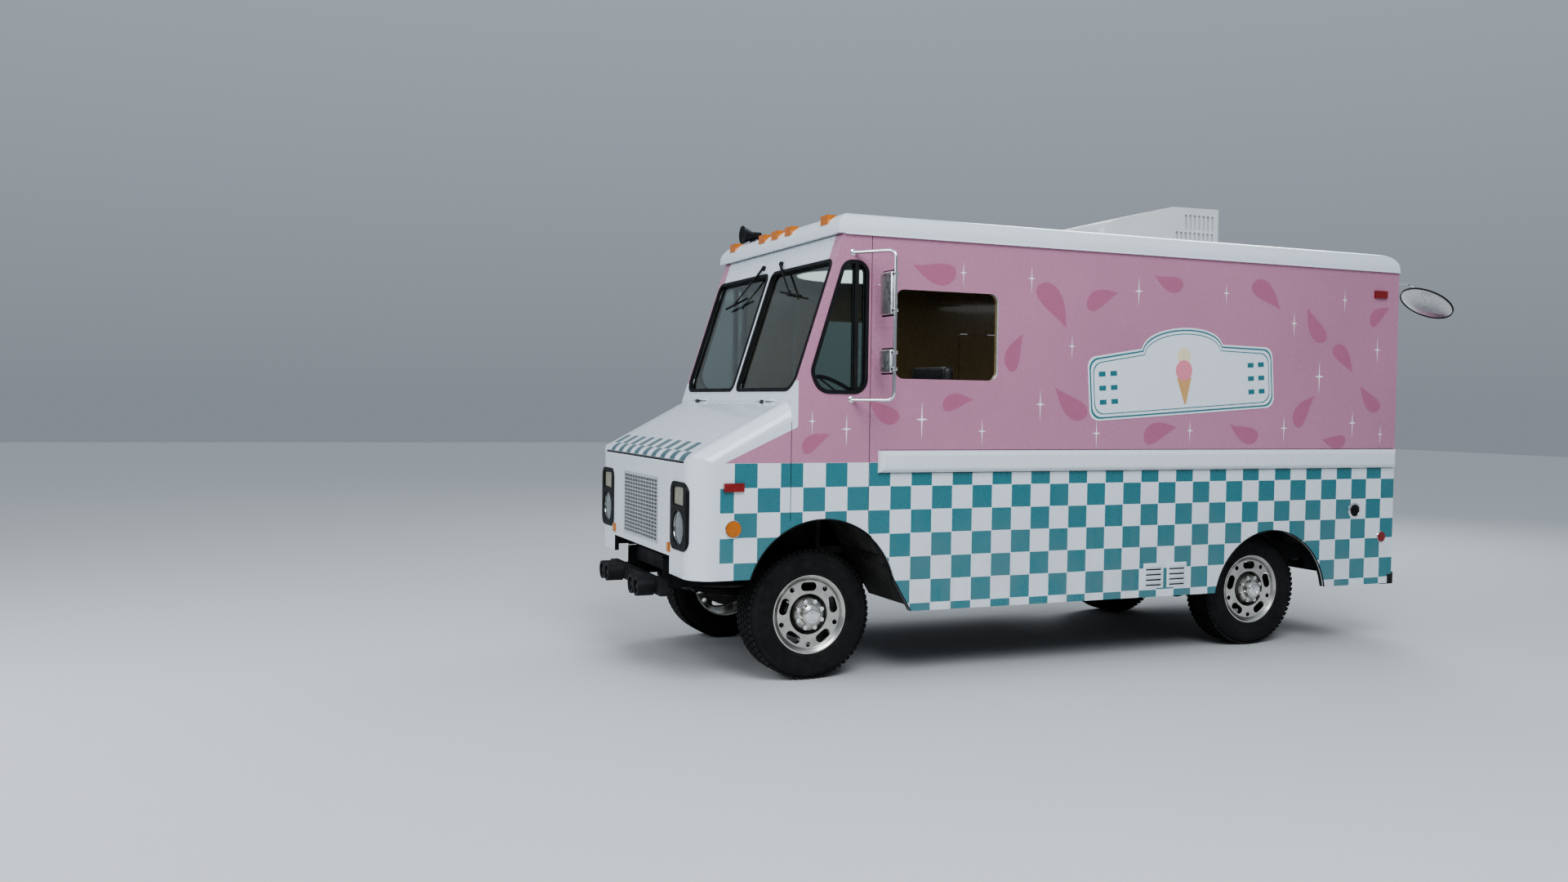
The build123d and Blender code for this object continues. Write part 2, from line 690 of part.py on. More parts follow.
with BuildPart() as nose:
    add(nose_outer)
    add(nose_inner, mode=Mode.SUBTRACT)
    block(-hood_half - hood_gap, hood_half + hood_gap, nose_y - 10, cowl_y + 10, hood_lip_z - hood_gap,
          hood_cowl_z + 200, mode=Mode.SUBTRACT)
    y, z, radius = front_arch
    rod((-body_half - 1, y, z), across, radius, 2 * body_half + 2,
        mode=Mode.SUBTRACT)
    block(-fascia_half, fascia_half, nose_y - 10, nose_y + skin + 40, nose_skirt_z - 10, fascia_z,
          mode=Mode.SUBTRACT)
    with BuildSketch(at_y(nose_y + 80)):
        with Locations((0, (grille_z0 + grille_z1) / 2)):
            Rectangle(2 * grille_half, grille_z1 - grille_z0)
        for side in both_sides:
            lamp_outline(side, 0)
    extrude(amount=120, mode=Mode.SUBTRACT)
keep(nose, "nose")

hood_hinge_x = body_half - 400
with BuildPart() as hood:
    add(nose_outer)
    add(nose_inner, mode=Mode.SUBTRACT)
    block(-hood_half + hood_gap, hood_half - hood_gap, nose_y - 10, cowl_y - 8, hood_lip_z + hood_gap,
          hood_cowl_z + 200, mode=Mode.INTERSECT)
    for side in both_sides:
        x = side * hood_hinge_x
        rod((x - 30, hood_hinge_y, hood_hinge_z), across, 7, 60)
        block(x - 30, x + 30, hood_hinge_y - 12, hood_hinge_y, hood_hinge_z - 32, hood_hinge_z)
keep(hood, "hood")

# Grille: an egg-crate plate set in the fascia
grille_columns = 12
grille_rows = 16
grille_rim = 14
grille_bar = 6
cell_w = (2 * grille_half - 2 * grille_rim) / grille_columns
cell_h = (grille_z1 - grille_z0 - 2 * grille_rim) / grille_rows
with BuildPart() as grille:
    with BuildSketch(at_y(nose_y + grille_t - 4)):
        with Locations((0, (grille_z0 + grille_z1) / 2)):
            Rectangle(2 * grille_half - 2 * running_gap, grille_z1 - grille_z0 - 2 * running_gap)
            with GridLocations(cell_w, cell_h, grille_columns, grille_rows):
                Rectangle(cell_w - grille_bar, cell_h - grille_bar, mode=Mode.SUBTRACT)
    extrude(amount=grille_t)
keep(grille, "grille")

# Lamp bezels, each with a square pocket over a round one, and the lamps in them
bezel_depth = 60
lamp_x = (bezel_x0 + bezel_x1) / 2
lamp_top_z = 1108
lamp_top_w = 190
lamp_top_h = 110
lamp_low_z = 925
lamp_low_r = 100
lamp_seat = 20
with BuildPart() as lamp_bezels:
    for side in both_sides:
        with BuildSketch(at_y(nose_y + bezel_depth - bezel_proud)):
            lamp_outline(side, running_gap)
        extrude(amount=bezel_depth)
        with BuildSketch(at_y(nose_y + lamp_seat)):
            with Locations((side * lamp_x, lamp_top_z)):
                RectangleRounded(lamp_top_w, lamp_top_h, 18)
            with Locations((side * lamp_x, lamp_low_z)):
                Circle(lamp_low_r)
        extrude(amount=80, mode=Mode.SUBTRACT)
keep(lamp_bezels, "lamp_bezels")

with BuildPart() as headlamps:
    for side in both_sides:
        with BuildSketch(at_y(nose_y + lamp_seat)):
            with Locations((side * lamp_x, lamp_top_z)):
                RectangleRounded(lamp_top_w - 2 * running_gap, lamp_top_h - 2 * running_gap, 17)
        extrude(amount=18)
        rod((side * lamp_x, nose_y + lamp_seat, lamp_low_z), ahead, lamp_low_r - running_gap, 22)
    chamfer(headlamps.edges().filter_by(GeomType.CIRCLE).group_by(Axis.Y)[0], 8)
keep(headlamps, "headlamps")

# Cab: raked windscreen wall, sides with quarter windows, and the bulkhead behind the engine
quarter_window = (
    # distance behind the front axle, height, corner radius
    (104, 2488, 80),
    (270, 2488, 80),
    (270, 1705, 90),
    (-49, 1705, 110),
    (-100, 1830, 90),
)
pane_x0 = 24
pane_x1 = inner_half
pane_z0 = 1715
pane_z1 = 2494
pane_round = 60
pane_low_round = 110
divider_behind = 190
divider_w = 24
bulkhead_half = 330
bulkhead_z = 1240
screen_plane = Plane(origin=(0, cowl_y, hood_cowl_z), x_dir=(1, 0, 0), z_dir=(0, -cos(rake), sin(rake)))
pane_t0 = (pane_z0 - hood_cowl_z) / cos(rake)
pane_t1 = (pane_z1 - hood_cowl_z) / cos(rake)
quarter_corners = [(front_axle_y + behind, z, radius) for behind, z, radius in quarter_window]


def pane_corners(side):
    inner, outer = side * pane_x0, side * pane_x1
    return [(inner, pane_t0, pane_round), (outer, pane_t0, pane_low_round), (outer, pane_t1, pane_round),
            (inner, pane_t1, pane_round)]


with BuildPart() as cab:
    cab_side = ((cowl_y, nose_skirt_z), (cowl_y, hood_cowl_z), (screen_top_y, eaves_z), (seam_y, eaves_z),
                (seam_y, nose_skirt_z))
    prism(at_x(-body_half), cab_side, 2 * body_half)
    lift = screen_t / cos(rake)
    inside = ((cowl_y + wall, nose_skirt_z - 1), (cowl_y + wall, hood_cowl_z + (wall - lift) / tan(rake)),
              (screen_top_y + lift + 10 * tan(rake), eaves_z + 10), (seam_y + 1, eaves_z + 10),
              (seam_y + 1, nose_skirt_z - 1))
    prism(at_x(-inner_half), inside, 2 * inner_half, mode=Mode.SUBTRACT)
    cut_arches(-body_half - 1, body_half + 1)
    block(-bulkhead_half, bulkhead_half, cowl_y - 1, cowl_y + wall + 1, nose_skirt_z - 1, bulkhead_z,
          mode=Mode.SUBTRACT)
    for side in both_sides:
        extrude(outline_of(screen_plane.offset(20), pane_corners(side)), amount=-80, mode=Mode.SUBTRACT)
    extrude(outline_of(at_x(-body_half - 1), quarter_corners), amount=2 * body_half + 2, mode=Mode.SUBTRACT)
    for side in both_sides:
        for x in (side * hood_hinge_x - 75, side * hood_hinge_x + 75):
            half = 45 - running_gap
            rod((x - half, hood_hinge_y, hood_hinge_z), across, 7, 2 * half)
            block(x - half, x + half, hood_hinge_y, cowl_y + 15, hood_hinge_z - 7, hood_hinge_z + 7)
keep(cab, "cab")

# Window seals and the cab's glass
with BuildPart() as window_seals:
    for side in both_sides:
        face = screen_plane.offset(seal_proud)
        extrude(outline_of(face, pane_corners(side), running_gap), amount=-screen_t - seal_proud)
        extrude(outline_of(face, pane_corners(side), running_gap + seal_w), amount=-screen_t - seal_proud,
                mode=Mode.SUBTRACT)
    for side in both_sides:
        x0, x1 = sorted((side * inner_half, side * (body_half + seal_proud)))
        extrude(outline_of(at_x(x0), quarter_corners, running_gap), amount=x1 - x0)
        extrude(outline_of(at_x(x0), quarter_corners, running_gap + seal_w), amount=x1 - x0,
                mode=Mode.SUBTRACT)
        divider_y = front_axle_y + divider_behind
        block(x0, x1, divider_y - divider_w / 2, divider_y + divider_w / 2, 1715, 2478)
keep(window_seals, "window_seals")

with BuildPart() as cab_glass:
    for side in both_sides:
        pane = outline_of(screen_plane.offset(-screen_t / 2), pane_corners(side), seal_w + 2 * running_gap)
        extrude(pane, amount=-glass_t)
    for side in both_sides:
        x0 = side * (body_half - wall / 2)
        pane = outline_of(at_x(x0), quarter_corners, seal_w + 2 * running_gap)
        extrude(pane, amount=side * -glass_t)
        block(x0 + 10, x0 - 10, divider_y - divider_w / 2 - running_gap,
              divider_y + divider_w / 2 + running_gap, 1700, 2490, mode=Mode.SUBTRACT)
keep(cab_glass, "cab_glass")

# Rear frame with its doorway, and the two rear doors with their windows
rear_open_half = 700
rear_z0 = 763
rear_z1 = 2290
rear_skirt_z = 474
rear_hinges = (950, 1520, 2110)
with BuildPart() as rear_frame:
    block(-body_half, body_half, tail_y - wall, tail_y, rear_skirt_z, eaves_z)
    block(-rear_open_half, rear_open_half, tail_y - wall - 1, tail_y + 1, rear_z0, rear_z1,
          mode=Mode.SUBTRACT)
    for side in both_sides:
        for z in rear_hinges:
            for low in (z - 1.5 * barrel_len - running_gap, z + barrel_len / 2 + running_gap):
                rod((side * rear_open_half, tail_y + pin_out, low), up, barrel_r, barrel_len)
                block(side * (rear_open_half + moving_gap - 4), side * (rear_open_half + 60), tail_y,
                      tail_y + leaf_t, low, low + barrel_len)
                block(side * (rear_open_half + 2), side * (rear_open_half + 9), tail_y, tail_y + pin_out,
                      low, low + barrel_len)
keep(rear_frame, "rear_frame")

rear_window = (120, 590, 1560, 2130)
for side, name in ((left, "left"), (right, "right")):
    x_free, x_hinge = side * moving_gap / 2, side * (rear_open_half - moving_gap)
    with BuildPart() as rear_door:
        block(x_free, x_hinge, tail_y - wall, tail_y, rear_z0 + moving_gap, rear_z1 - moving_gap)
        x0, x1, z0, z1 = rear_window
        with BuildSketch(at_y(tail_y + 1)):
            with Locations((side * (x0 + x1) / 2, (z0 + z1) / 2)):
                RectangleRounded(x1 - x0, z1 - z0, 60)
        extrude(amount=wall + 2, mode=Mode.SUBTRACT)
        for z in rear_hinges:
            low = z - barrel_len / 2
            rod((side * rear_open_half, tail_y + pin_out, low), up, barrel_r, barrel_len)
            block(side * (rear_open_half - 70), side * (rear_open_half - moving_gap), tail_y,
                  tail_y + leaf_t, low, low + barrel_len)
            block(side * (rear_open_half - 9), side * (rear_open_half - 2), tail_y - 1, tail_y + pin_out,
                  low, low + barrel_len)
    keep(rear_door, f"rear_door_{name}")
    with BuildPart() as rear_glass:
        with BuildSketch(at_y(tail_y - wall / 2)):
            with Locations((side * (x0 + x1) / 2, (z0 + z1) / 2)):
                RectangleRounded(x1 - x0 - 2 * running_gap, z1 - z0 - 2 * running_gap, 60)
        extrude(amount=glass_t)
    keep(rear_glass, f"rear_glass_{name}")

# Rub rails along both sides, rounded on their outer edges and ends
rail_z0 = 1242
rail_z1 = 1375
rub_t = 36
rub_round = 33
rub_front_y = front_axle_y + 347
rub_back_y = tail_y - 10
with BuildPart() as rub_rails:
    for side, y0 in ((left, rub_front_y), (right, step_y1 + 30)):
        x0, x1 = sorted((side * body_half, side * (body_half + rub_t)))
        block(x0, x1, y0, rub_back_y, rail_z0, rail_z1)
    outer = rub_rails.faces().filter_by(Axis.X).filter_by(lambda f: abs(f.center().X) > body_half + rub_t / 2)
    fillet(outer.edges(), rub_round)
keep(rub_rails, "rub_rails")

# Lamps: amber at the roof's front, on the fascia and the front corners, red at the rear and on the sides
roof_lamp_x = (-body_half + 225, -225, 0, 225, body_half - 225)
with BuildPart() as amber_lamps:
    for x in roof_lamp_x:
        block(x - 50, x + 50, roof_front_y + 8, roof_front_y + 66, roof_top - 60, roof_top - 4)
    add(roof_outer, mode=Mode.SUBTRACT)
    for side in both_sides:
        block(side * (bezel_x0 - 47), side * (bezel_x0 - 17), nose_y - 14, nose_y, 770, 825)
        rod((side * body_half, front_axle_y - 563, 933), (side, 0, 0), 44, 18)
keep(amber_lamps, "amber_lamps")

with BuildPart() as red_lamps:
    for side in both_sides:
        for y, z, half_y, half_z in ((front_axle_y - 561, 1168, 60, 24), (rear_axle_y + 954, 2473, 56, 26)):
            block(side * body_half, side * (body_half + 16), y - half_y, y + half_y, z - half_z, z + half_z)
        rod((side * body_half, rear_axle_y + 1020, 747), (side, 0, 0), 34, 12)
        for z in (830, 960):
            rod((side * (body_half - 150), tail_y, z), aft, 52, 24)
        block(side * (body_half - 140), side * (body_half - 50), tail_y, tail_y + 16, 2480, 2520)
    for x in (-160, 0, 160):
        block(x - 45, x + 45, tail_y, tail_y + 16, 2480, 2520)
keep(red_lamps, "red_lamps")

# Mirrors: a bent tube loop on each side with a tall head over a small one, and a dished mirror over the tail
loop_r = 11
loop_x = body_half + 230
loop_top = 2530
loop_low = 1672
loop_front_y = front_axle_y + 165
loop_out_y = front_axle_y + 325
foot_r = 20
head_t = 38
heads = (
    # middle height, height
    (2288, 262),
    (1897, 150),
)
head_w = 165
with BuildPart() as mirrors:
    for side in both_sides:
        with BuildLine() as loop:
            FilletPolyline(
                (side * body_half, loop_front_y, loop_top), (side * loop_x, loop_out_y, loop_top),
                (side * loop_x, loop_out_y, loop_low), (side * body_half, loop_front_y, loop_low),
                radius=55)
        with BuildSketch(Plane(origin=loop.line @ 0, z_dir=loop.line % 0)):
            Circle(loop_r)
        sweep()
        for z in (loop_top, loop_low):
            rod((side * body_half, loop_front_y, z), (side, 0, 0), foot_r, 8)
        for z, height in heads:
            x1 = side * (loop_x - 6)
            block(x1 - side * head_w, x1, loop_out_y - head_t / 2, loop_out_y + head_t / 2, z - height / 2,
                  z + height / 2)
    block(-body_half, body_half, loop_front_y - 60, loop_front_y + 60, loop_low - 60, loop_top + 60,
          mode=Mode.SUBTRACT)
    disc_y = rear_axle_y + mirror_disc_aft
    normal = (0, sin(tilt), cos(tilt))
    rod((mirror_disc_x, disc_y, mirror_disc_z), normal, mirror_disc_r, mirror_disc_t)
    bulge = 44
    dish = Plane(origin=(mirror_disc_x, disc_y, mirror_disc_z), x_dir=(1, 0, 0),
                 z_dir=(0, cos(tilt), -sin(tilt)))
    with BuildSketch(dish):
        Polygon((0, 0), (0, bulge), (mirror_disc_r * 0.5, bulge * 0.76), (mirror_disc_r - 6, 0), align=None)
    revolve(axis=Axis((mirror_disc_x, disc_y, mirror_disc_z), normal))
    with BuildLine() as arm:
        back = Vector(*normal) * mirror_disc_t
        end = Vector(mirror_disc_x, disc_y, mirror_disc_z) + back * 0.5
        FilletPolyline((mirror_disc_x, tail_y, 2570), (mirror_disc_x, tail_y + 190, 2570),
                       (mirror_disc_x, tail_y + 290, 2520), end, radius=60)
    with BuildSketch(Plane(origin=arm.line @ 0, z_dir=arm.line % 0)):
        Circle(9)
    sweep()
    rod((mirror_disc_x, tail_y, 2570), aft, 22, 8)
keep(mirrors, "mirrors")

# Wipers parked under the header, hung from pivots over the glass
wiper_x = 150
wiper_t = (2535 - hood_cowl_z) / cos(rake)
with BuildPart() as wipers:
    for side in both_sides:
        with BuildSketch(screen_plane.offset(running_gap)):
            with Locations((side * wiper_x, wiper_t)):
                Circle(18)
        extrude(amount=24)
        with BuildSketch(screen_plane.offset(14)):
            with BuildLine():
                a = (side * wiper_x, wiper_t)
                b = (side * (wiper_x + 330), wiper_t - 230)
                Line(a, b)
            trace(line_width=14)
        extrude(amount=8)
        with BuildSketch(screen_plane.offset(8)):
            with BuildLine():
                Line((side * (wiper_x + 130), wiper_t - 200), (side * (wiper_x + 500), wiper_t - 255))
            trace(line_width=12)
        extrude(amount=14)
keep(wipers, "wipers")

# Roof air conditioner: a rising housing with two rows of upright louvres round its back
cooler_half = 350
cooler_profile = (
    # distance behind its front, height over the roof
    (0, 0), (0, 120), (60, 175), (160, 208), (620, 320), (1060, 328), (1060, 0),
)
louvre_w = 22
louvre_pitch = 40
louvre_h = (95, 105)
louvre_depth = 18
with BuildPart() as roof_cooler:
    prism(at_x(-cooler_half), [(cooler_y0 + y, roof_top + z) for y, z in cooler_profile], 2 * cooler_half)
    fillet(roof_cooler.edges().filter_by(Axis.Z), 40)
    for side in both_sides:
        with BuildSketch(Plane(origin=(side * cooler_half, 0, 0), x_dir=(0, 1, 0), z_dir=(side, 0, 0))):
            with Locations((cooler_y0 + 820, roof_top + 100)):
                with GridLocations(louvre_pitch, 0, 9, 1):
                    Rectangle(louvre_w, louvre_h[0])
            with Locations((cooler_y0 + 860, roof_top + 220)):
                with GridLocations(louvre_pitch, 0, 7, 1):
                    Rectangle(louvre_w, louvre_h[1])
        extrude(amount=-louvre_depth, mode=Mode.SUBTRACT)
    with BuildSketch(at_y(cooler_y0 + 1060)):
        for z in (100, 220):
            with Locations((0, roof_top + z)):
                with GridLocations(louvre_pitch, 0, 14, 1):
                    Rectangle(louvre_w, louvre_h[0])
    extrude(amount=louvre_depth, mode=Mode.SUBTRACT)
keep(roof_cooler, "roof_cooler")

# Chime speaker: a small horn on the roof's front edge
horn_x = -body_half + 200
horn_y = roof_front_y + 150
with BuildPart() as chime_speaker:
    block(horn_x - 30, horn_x + 30, horn_y - 20, horn_y + 60, roof_top, roof_top + 12)
    block(horn_x - 8, horn_x + 8, horn_y, horn_y + 40, roof_top + 10, roof_top + 60)
    with BuildSketch(Plane(origin=(horn_x, horn_y, roof_top + 70), x_dir=(1, 0, 0), z_dir=(0, 0, 1))):
        with BuildLine():
            Polyline((0, -50), (66, -60), (26, 20), (26, 80), (0, 80), close=True)
        make_face()
    revolve(axis=Axis((horn_x, horn_y, roof_top + 70), (0, 1, 0)))
keep(chime_speaker, "chime_speaker")

# Driver's place: engine cover, dash with its column, steering wheel and seat
cover_half = 325
cover_back = front_axle_y + 560
cover_top = 1225
with BuildPart() as engine_cover:
    cover_y0 = cowl_y + wall + running_gap
    with BuildSketch(at_x(-cover_half)):
        with BuildLine():
            Polyline((cover_y0, platform_z), (cover_y0, cover_top), (cover_back - 90, cover_top - 60),
                     (cover_back, floor_z), (floor_front + 30, floor_z), (floor_front + 30, platform_z),
                     close=True)
        make_face()
    extrude(amount=2 * cover_half)
    with BuildSketch(at_x(-cover_half + 20)):
        with BuildLine():
            Polyline((cover_y0 - 1, platform_z - 300), (cover_y0 - 1, cover_top - 20),
                     (cover_back - 110, cover_top - 80), (cover_back - 25, floor_z - 1),
                     (cover_back - 60, platform_z - 300), close=True)
        make_face()
    extrude(amount=2 * cover_half - 40, mode=Mode.SUBTRACT)
keep(engine_cover, "engine_cover")

dash_z0 = 1440
dash_z1 = 1660
dash_depth = 190
column_x = body_half / 2
steer_tilt = radians(35)
steer_centre = (column_x, front_axle_y + 359, 1690)
steer_axis = (0, sin(steer_tilt), cos(steer_tilt))
column_r = 28
column_foot_z = platform_z + running_gap + column_r * sin(steer_tilt)
column_len = (steer_centre[2] - column_foot_z) / cos(steer_tilt)
with BuildPart() as dash:
    dash_y0 = cowl_y + wall + running_gap
    with BuildSketch(at_x(-inner_half + 20)):
        with BuildLine():
            Polyline((dash_y0, dash_z0), (dash_y0, dash_z0 + 100), (dash_y0 + 30, dash_z1 - 20),
                     (dash_y0 + dash_depth, dash_z1 - 40), (dash_y0 + dash_depth + 20, dash_z0 + 60),
                     (dash_y0 + dash_depth - 40, dash_z0), close=True)
        make_face()
    extrude(amount=2 * inner_half - 40)
    foot = Vector(*steer_centre) - Vector(*steer_axis) * column_len
    rod(foot, steer_axis, column_r, column_len - 40)
    block(column_x - 20, column_x + 20, dash_y0 + dash_depth - 60, dash_y0 + dash_depth + 60, 1320,
          dash_z0 + 20)
keep(dash, "dash")

wheel_rim_r = 218
rim_tube_r = 14
with BuildPart() as steering_wheel:
    wheel_plane = Plane(origin=steer_centre, x_dir=(1, 0, 0), z_dir=steer_axis)
    with BuildSketch(Plane(origin=steer_centre, x_dir=(1, 0, 0),
                           z_dir=(0, -cos(steer_tilt), sin(steer_tilt)))):
        with Locations((wheel_rim_r, 0)):
            RegularPolygon(rim_tube_r, 6)
    revolve(axis=Axis(steer_centre, steer_axis))
    rod(wheel_plane.offset(-40 + running_gap).origin, steer_axis, 45, 46)
    with BuildSketch(wheel_plane.offset(-8)):
        with PolarLocations(wheel_rim_r / 2, 3, start_angle=90):
            Rectangle(wheel_rim_r, 30)
    extrude(amount=12)
keep(steering_wheel, "steering_wheel")

seat_x = column_x
seat_y = front_axle_y + 790
seat_top = 1350
cushion_t = 115
seat_w = 480
with BuildPart() as seat_base:
    block(seat_x - 170, seat_x + 170, seat_y - 160, seat_y + 170, floor_z, seat_top - cushion_t - 20)
    block(seat_x - 200, seat_x + 200, seat_y - 190, seat_y + 210, seat_top - cushion_t - 20,
          seat_top - cushion_t)
    block(seat_x - 140, seat_x + 140, seat_y + 245, seat_y + 260, seat_top - cushion_t - 20, seat_top + 380)
    block(seat_x - 140, seat_x + 140, seat_y + 200, seat_y + 260, seat_top - cushion_t - 20,
          seat_top - cushion_t)
    fillet(seat_base.edges().filter_by(Axis.Z).group_by(SortBy.LENGTH)[-1], 6)
keep(seat_base, "seat_base")

with BuildPart() as seat_cushions:
    block(seat_x - seat_w / 2, seat_x + seat_w / 2, seat_y - 230, seat_y + 180,
          seat_top - cushion_t + running_gap, seat_top)
    block(seat_x - seat_w / 2, seat_x + seat_w / 2, seat_y + 150, seat_y + 245 - running_gap, seat_top + 10,
          seat_top + 560)
    fillet(seat_cushions.edges().filter_by(Axis.X), 30)
keep(seat_cushions, "seat_cushions")

# Freezer: one plain block under the serving hatch
with BuildPart() as freezer:
    freezer_back = rear_axle_y - wheel_box_half - 20
    block(-inner_half + 60, -inner_half + 720, hatch_y0 + 40, freezer_back, floor_z, 1395)
    fillet(freezer.edges().filter_by(Axis.Z), 30)
keep(freezer, "freezer")

# Front bar between the frame horns with its twin tow eyes, and the rear step with its brackets
bar_low = 500
bar_high = 590
eye_ring_r = 58
eye_pair_x = (278, 396)
eye_z_mid = 543
horn_front_y = nose_y - 40
bar_half = 560
tow_hole_x = 480
tow_hole_r = 8.5
with BuildPart() as front_bar:
    block(-bar_half, bar_half, horn_front_y, horn_front_y + 50, bar_low, bar_high)
    for side in both_sides:
        block(side * (rail_outer - rail_w), side * rail_outer, horn_front_y + 40, frame_front_y,
              bar_low + 20, bar_high)
        for x in eye_pair_x:
            lamp_front_y = nose_y - tow_eye_reach
            rod((side * x, horn_front_y, eye_z_mid), ahead, eye_ring_r, horn_front_y - lamp_front_y)
            rod((side * x, lamp_front_y + 30, eye_z_mid), ahead, eye_ring_r - 16, 31, mode=Mode.SUBTRACT)
            rod((side * x, horn_front_y - 10, eye_z_mid), ahead, 18, horn_front_y - lamp_front_y - 15)
        rod((side * tow_hole_x, horn_front_y - 1, (bar_low + bar_high) / 2), aft, tow_hole_r, 60,
            mode=Mode.SUBTRACT)
keep(front_bar, "front_bar")

step_low = 385
step_high = 470
step_out = 130
step_half = body_half - 100
hitch_r = 13
with BuildPart() as rear_step:
    block(-step_half, step_half, tail_y + running_gap, tail_y + step_out, step_low, step_high)
    block(-step_half + 8, step_half - 8, tail_y - 10, tail_y + step_out - 8, step_low - 1, step_high - 8,
          mode=Mode.SUBTRACT)
    for side in both_sides:
        block(side * (rail_outer - rail_w), side * rail_outer, frame_back_y - 160, tail_y + 20,
              step_high - 30, step_high)
        block(side * (rail_outer - rail_w), side * rail_outer, frame_back_y - 160, frame_back_y - 20,
              step_high - 30, rail_bottom)
    rod((0, tail_y + 70, step_high - 9), up, hitch_r, 12, mode=Mode.SUBTRACT)
keep(rear_step, "rear_step")
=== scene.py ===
# %% [markdown]
# # An ice cream truck, dressed for its portrait
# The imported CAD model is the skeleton: every wall, wheel and door already stands where it belongs. This
# lesson adds what a camera sees first. We give each CAD piece a painted, rubbed or dusty finish, and model
# the pieces that need softer forms than flat solids: tyres, mirrors, lamps, wipers, cushions and the small
# trim.

# %% Load the frame
from math import cos, pi, radians, sin, sqrt, tan

import bmesh
import bpy
from mathutils import Matrix, Vector


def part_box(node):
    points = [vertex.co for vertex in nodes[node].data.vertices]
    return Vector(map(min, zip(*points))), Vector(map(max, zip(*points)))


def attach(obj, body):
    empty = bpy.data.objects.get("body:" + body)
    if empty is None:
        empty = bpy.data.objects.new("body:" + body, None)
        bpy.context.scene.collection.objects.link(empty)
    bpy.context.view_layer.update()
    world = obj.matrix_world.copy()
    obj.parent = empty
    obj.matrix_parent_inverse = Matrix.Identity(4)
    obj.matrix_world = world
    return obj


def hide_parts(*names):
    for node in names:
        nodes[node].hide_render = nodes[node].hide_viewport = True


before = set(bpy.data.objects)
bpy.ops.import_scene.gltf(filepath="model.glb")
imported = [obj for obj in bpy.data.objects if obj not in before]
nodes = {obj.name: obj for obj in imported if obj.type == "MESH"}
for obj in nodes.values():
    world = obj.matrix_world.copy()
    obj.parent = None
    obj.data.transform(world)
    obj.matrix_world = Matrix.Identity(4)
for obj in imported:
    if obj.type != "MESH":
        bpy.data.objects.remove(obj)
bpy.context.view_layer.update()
scene = bpy.context.scene

# %% [markdown]
# ## Camera, floor and light
# The camera stands off the truck's front corner at chest height. We place it from the viewing angle: where
# it stands, which way it looks and how far it is tipped. The floor is a plain pale sheet. Three large soft
# lamps and a sky that brightens upwards stand in for open air, because paint and chrome look dead without
# something wide and bright to mirror. Two weak lamps inside keep the cab and the bay from going black.

# %% The camera


def placed(name, data):
    thing = bpy.data.objects.new(name, data)
    scene.collection.objects.link(thing)
    return thing


camera_data = bpy.data.cameras.new("view_camera")
camera_data.sensor_width = 36.0
camera_data.lens = 28.84
camera = placed("view_camera", camera_data)
heading, tip, roll = radians(67.09), radians(88.233), radians(0.774)
facing = Matrix.Rotation(heading, 4, "Z") @ Matrix.Rotation(tip, 4, "X") @ Matrix.Rotation(roll, 4, "Z")
camera.matrix_world = Matrix.Translation((7.613, -5.0897, 1.652)) @ facing
scene.camera = camera
print("camera at", [round(v, 3) for v in camera.location])

# %% Floor and lamps
floor_bm = bmesh.new()
bmesh.ops.create_grid(floor_bm, x_segments=1, y_segments=1, size=40.0)
floor_mesh = bpy.data.meshes.new("studio_floor")
floor_bm.to_mesh(floor_mesh)
floor_bm.free()
studio_floor = placed("studio_floor", floor_mesh)
lamps = (
    # name, place, aim, size, power
    ("key_lamp", (7.5, -3.0, 8.0), (0.0, -0.3, 1.2), 6.0, 900.0),
    ("front_lamp", (1.0, -9.5, 5.0), (0.0, -1.5, 1.3), 5.0, 420.0),
    ("rim_lamp", (-6.0, 7.0, 7.0), (0.0, 0.5, 1.6), 6.0, 500.0),
    ("cab_lamp", (0.0, -1.3, 2.5), (0.0, -1.3, 0.0), 0.9, 4.5),
    ("bay_lamp", (0.0, 0.9, 2.5), (0.0, 0.9, 0.0), 0.9, 4.5),
)
for name, place, aim, size, power in lamps:
    data = bpy.data.lights.new(name, "AREA")
    data.shape = "DISK"
    data.size = size
    data.energy = power
    data.color = (0.9, 0.95, 1.0)
    lamp = placed(name, data)
    lamp.location = place
    lamp.rotation_euler = (Vector(aim) - Vector(place)).to_track_quat("-Z", "Y").to_euler()
print("lamps:", len(lamps))

# %% Sky and exposure
sky = bpy.data.worlds.new("studio_sky")
sky.use_nodes = True
sky_tree = sky.node_tree
background = sky_tree.nodes["Background"]
background.inputs["Color"].default_value = (0.8, 0.89, 1.0, 1.0)
direction = sky_tree.nodes.new("ShaderNodeTexCoord")
split = sky_tree.nodes.new("ShaderNodeSeparateXYZ")
strength = sky_tree.nodes.new("ShaderNodeMapRange")
for index, number in enumerate((0.0, 0.9, 0.4, 0.92), 1):
    strength.inputs[index].default_value = number
sky_tree.links.new(direction.outputs["Generated"], split.inputs[0])
sky_tree.links.new(split.outputs[2], strength.inputs[0])
sky_tree.links.new(strength.outputs[0], background.inputs["Strength"])
scene.world = sky
scene.view_settings.view_transform = "AgX"
scene.view_settings.look = "AgX - Medium High Contrast"
scene.view_settings.exposure = -0.5
print("sky strength: 0.40 at the horizon to 0.92 overhead")

# %% [markdown]
# ## A small kit for finishes
# Each finish is a node tree. Wiring it node by node is long, so two small classes help. A Value is a number
# that changes over the surface, and plain arithmetic on it adds math nodes: a comparison gives a mask of 0
# or 1, a product means both and a bar means either. A Finish keeps the tree. All patterns read Object
# coordinates, in metres, which are the truck's own coordinates because every piece has its object at the
# origin. A noise of 4 then changes about every quarter of a metre.

# %% The finish kit


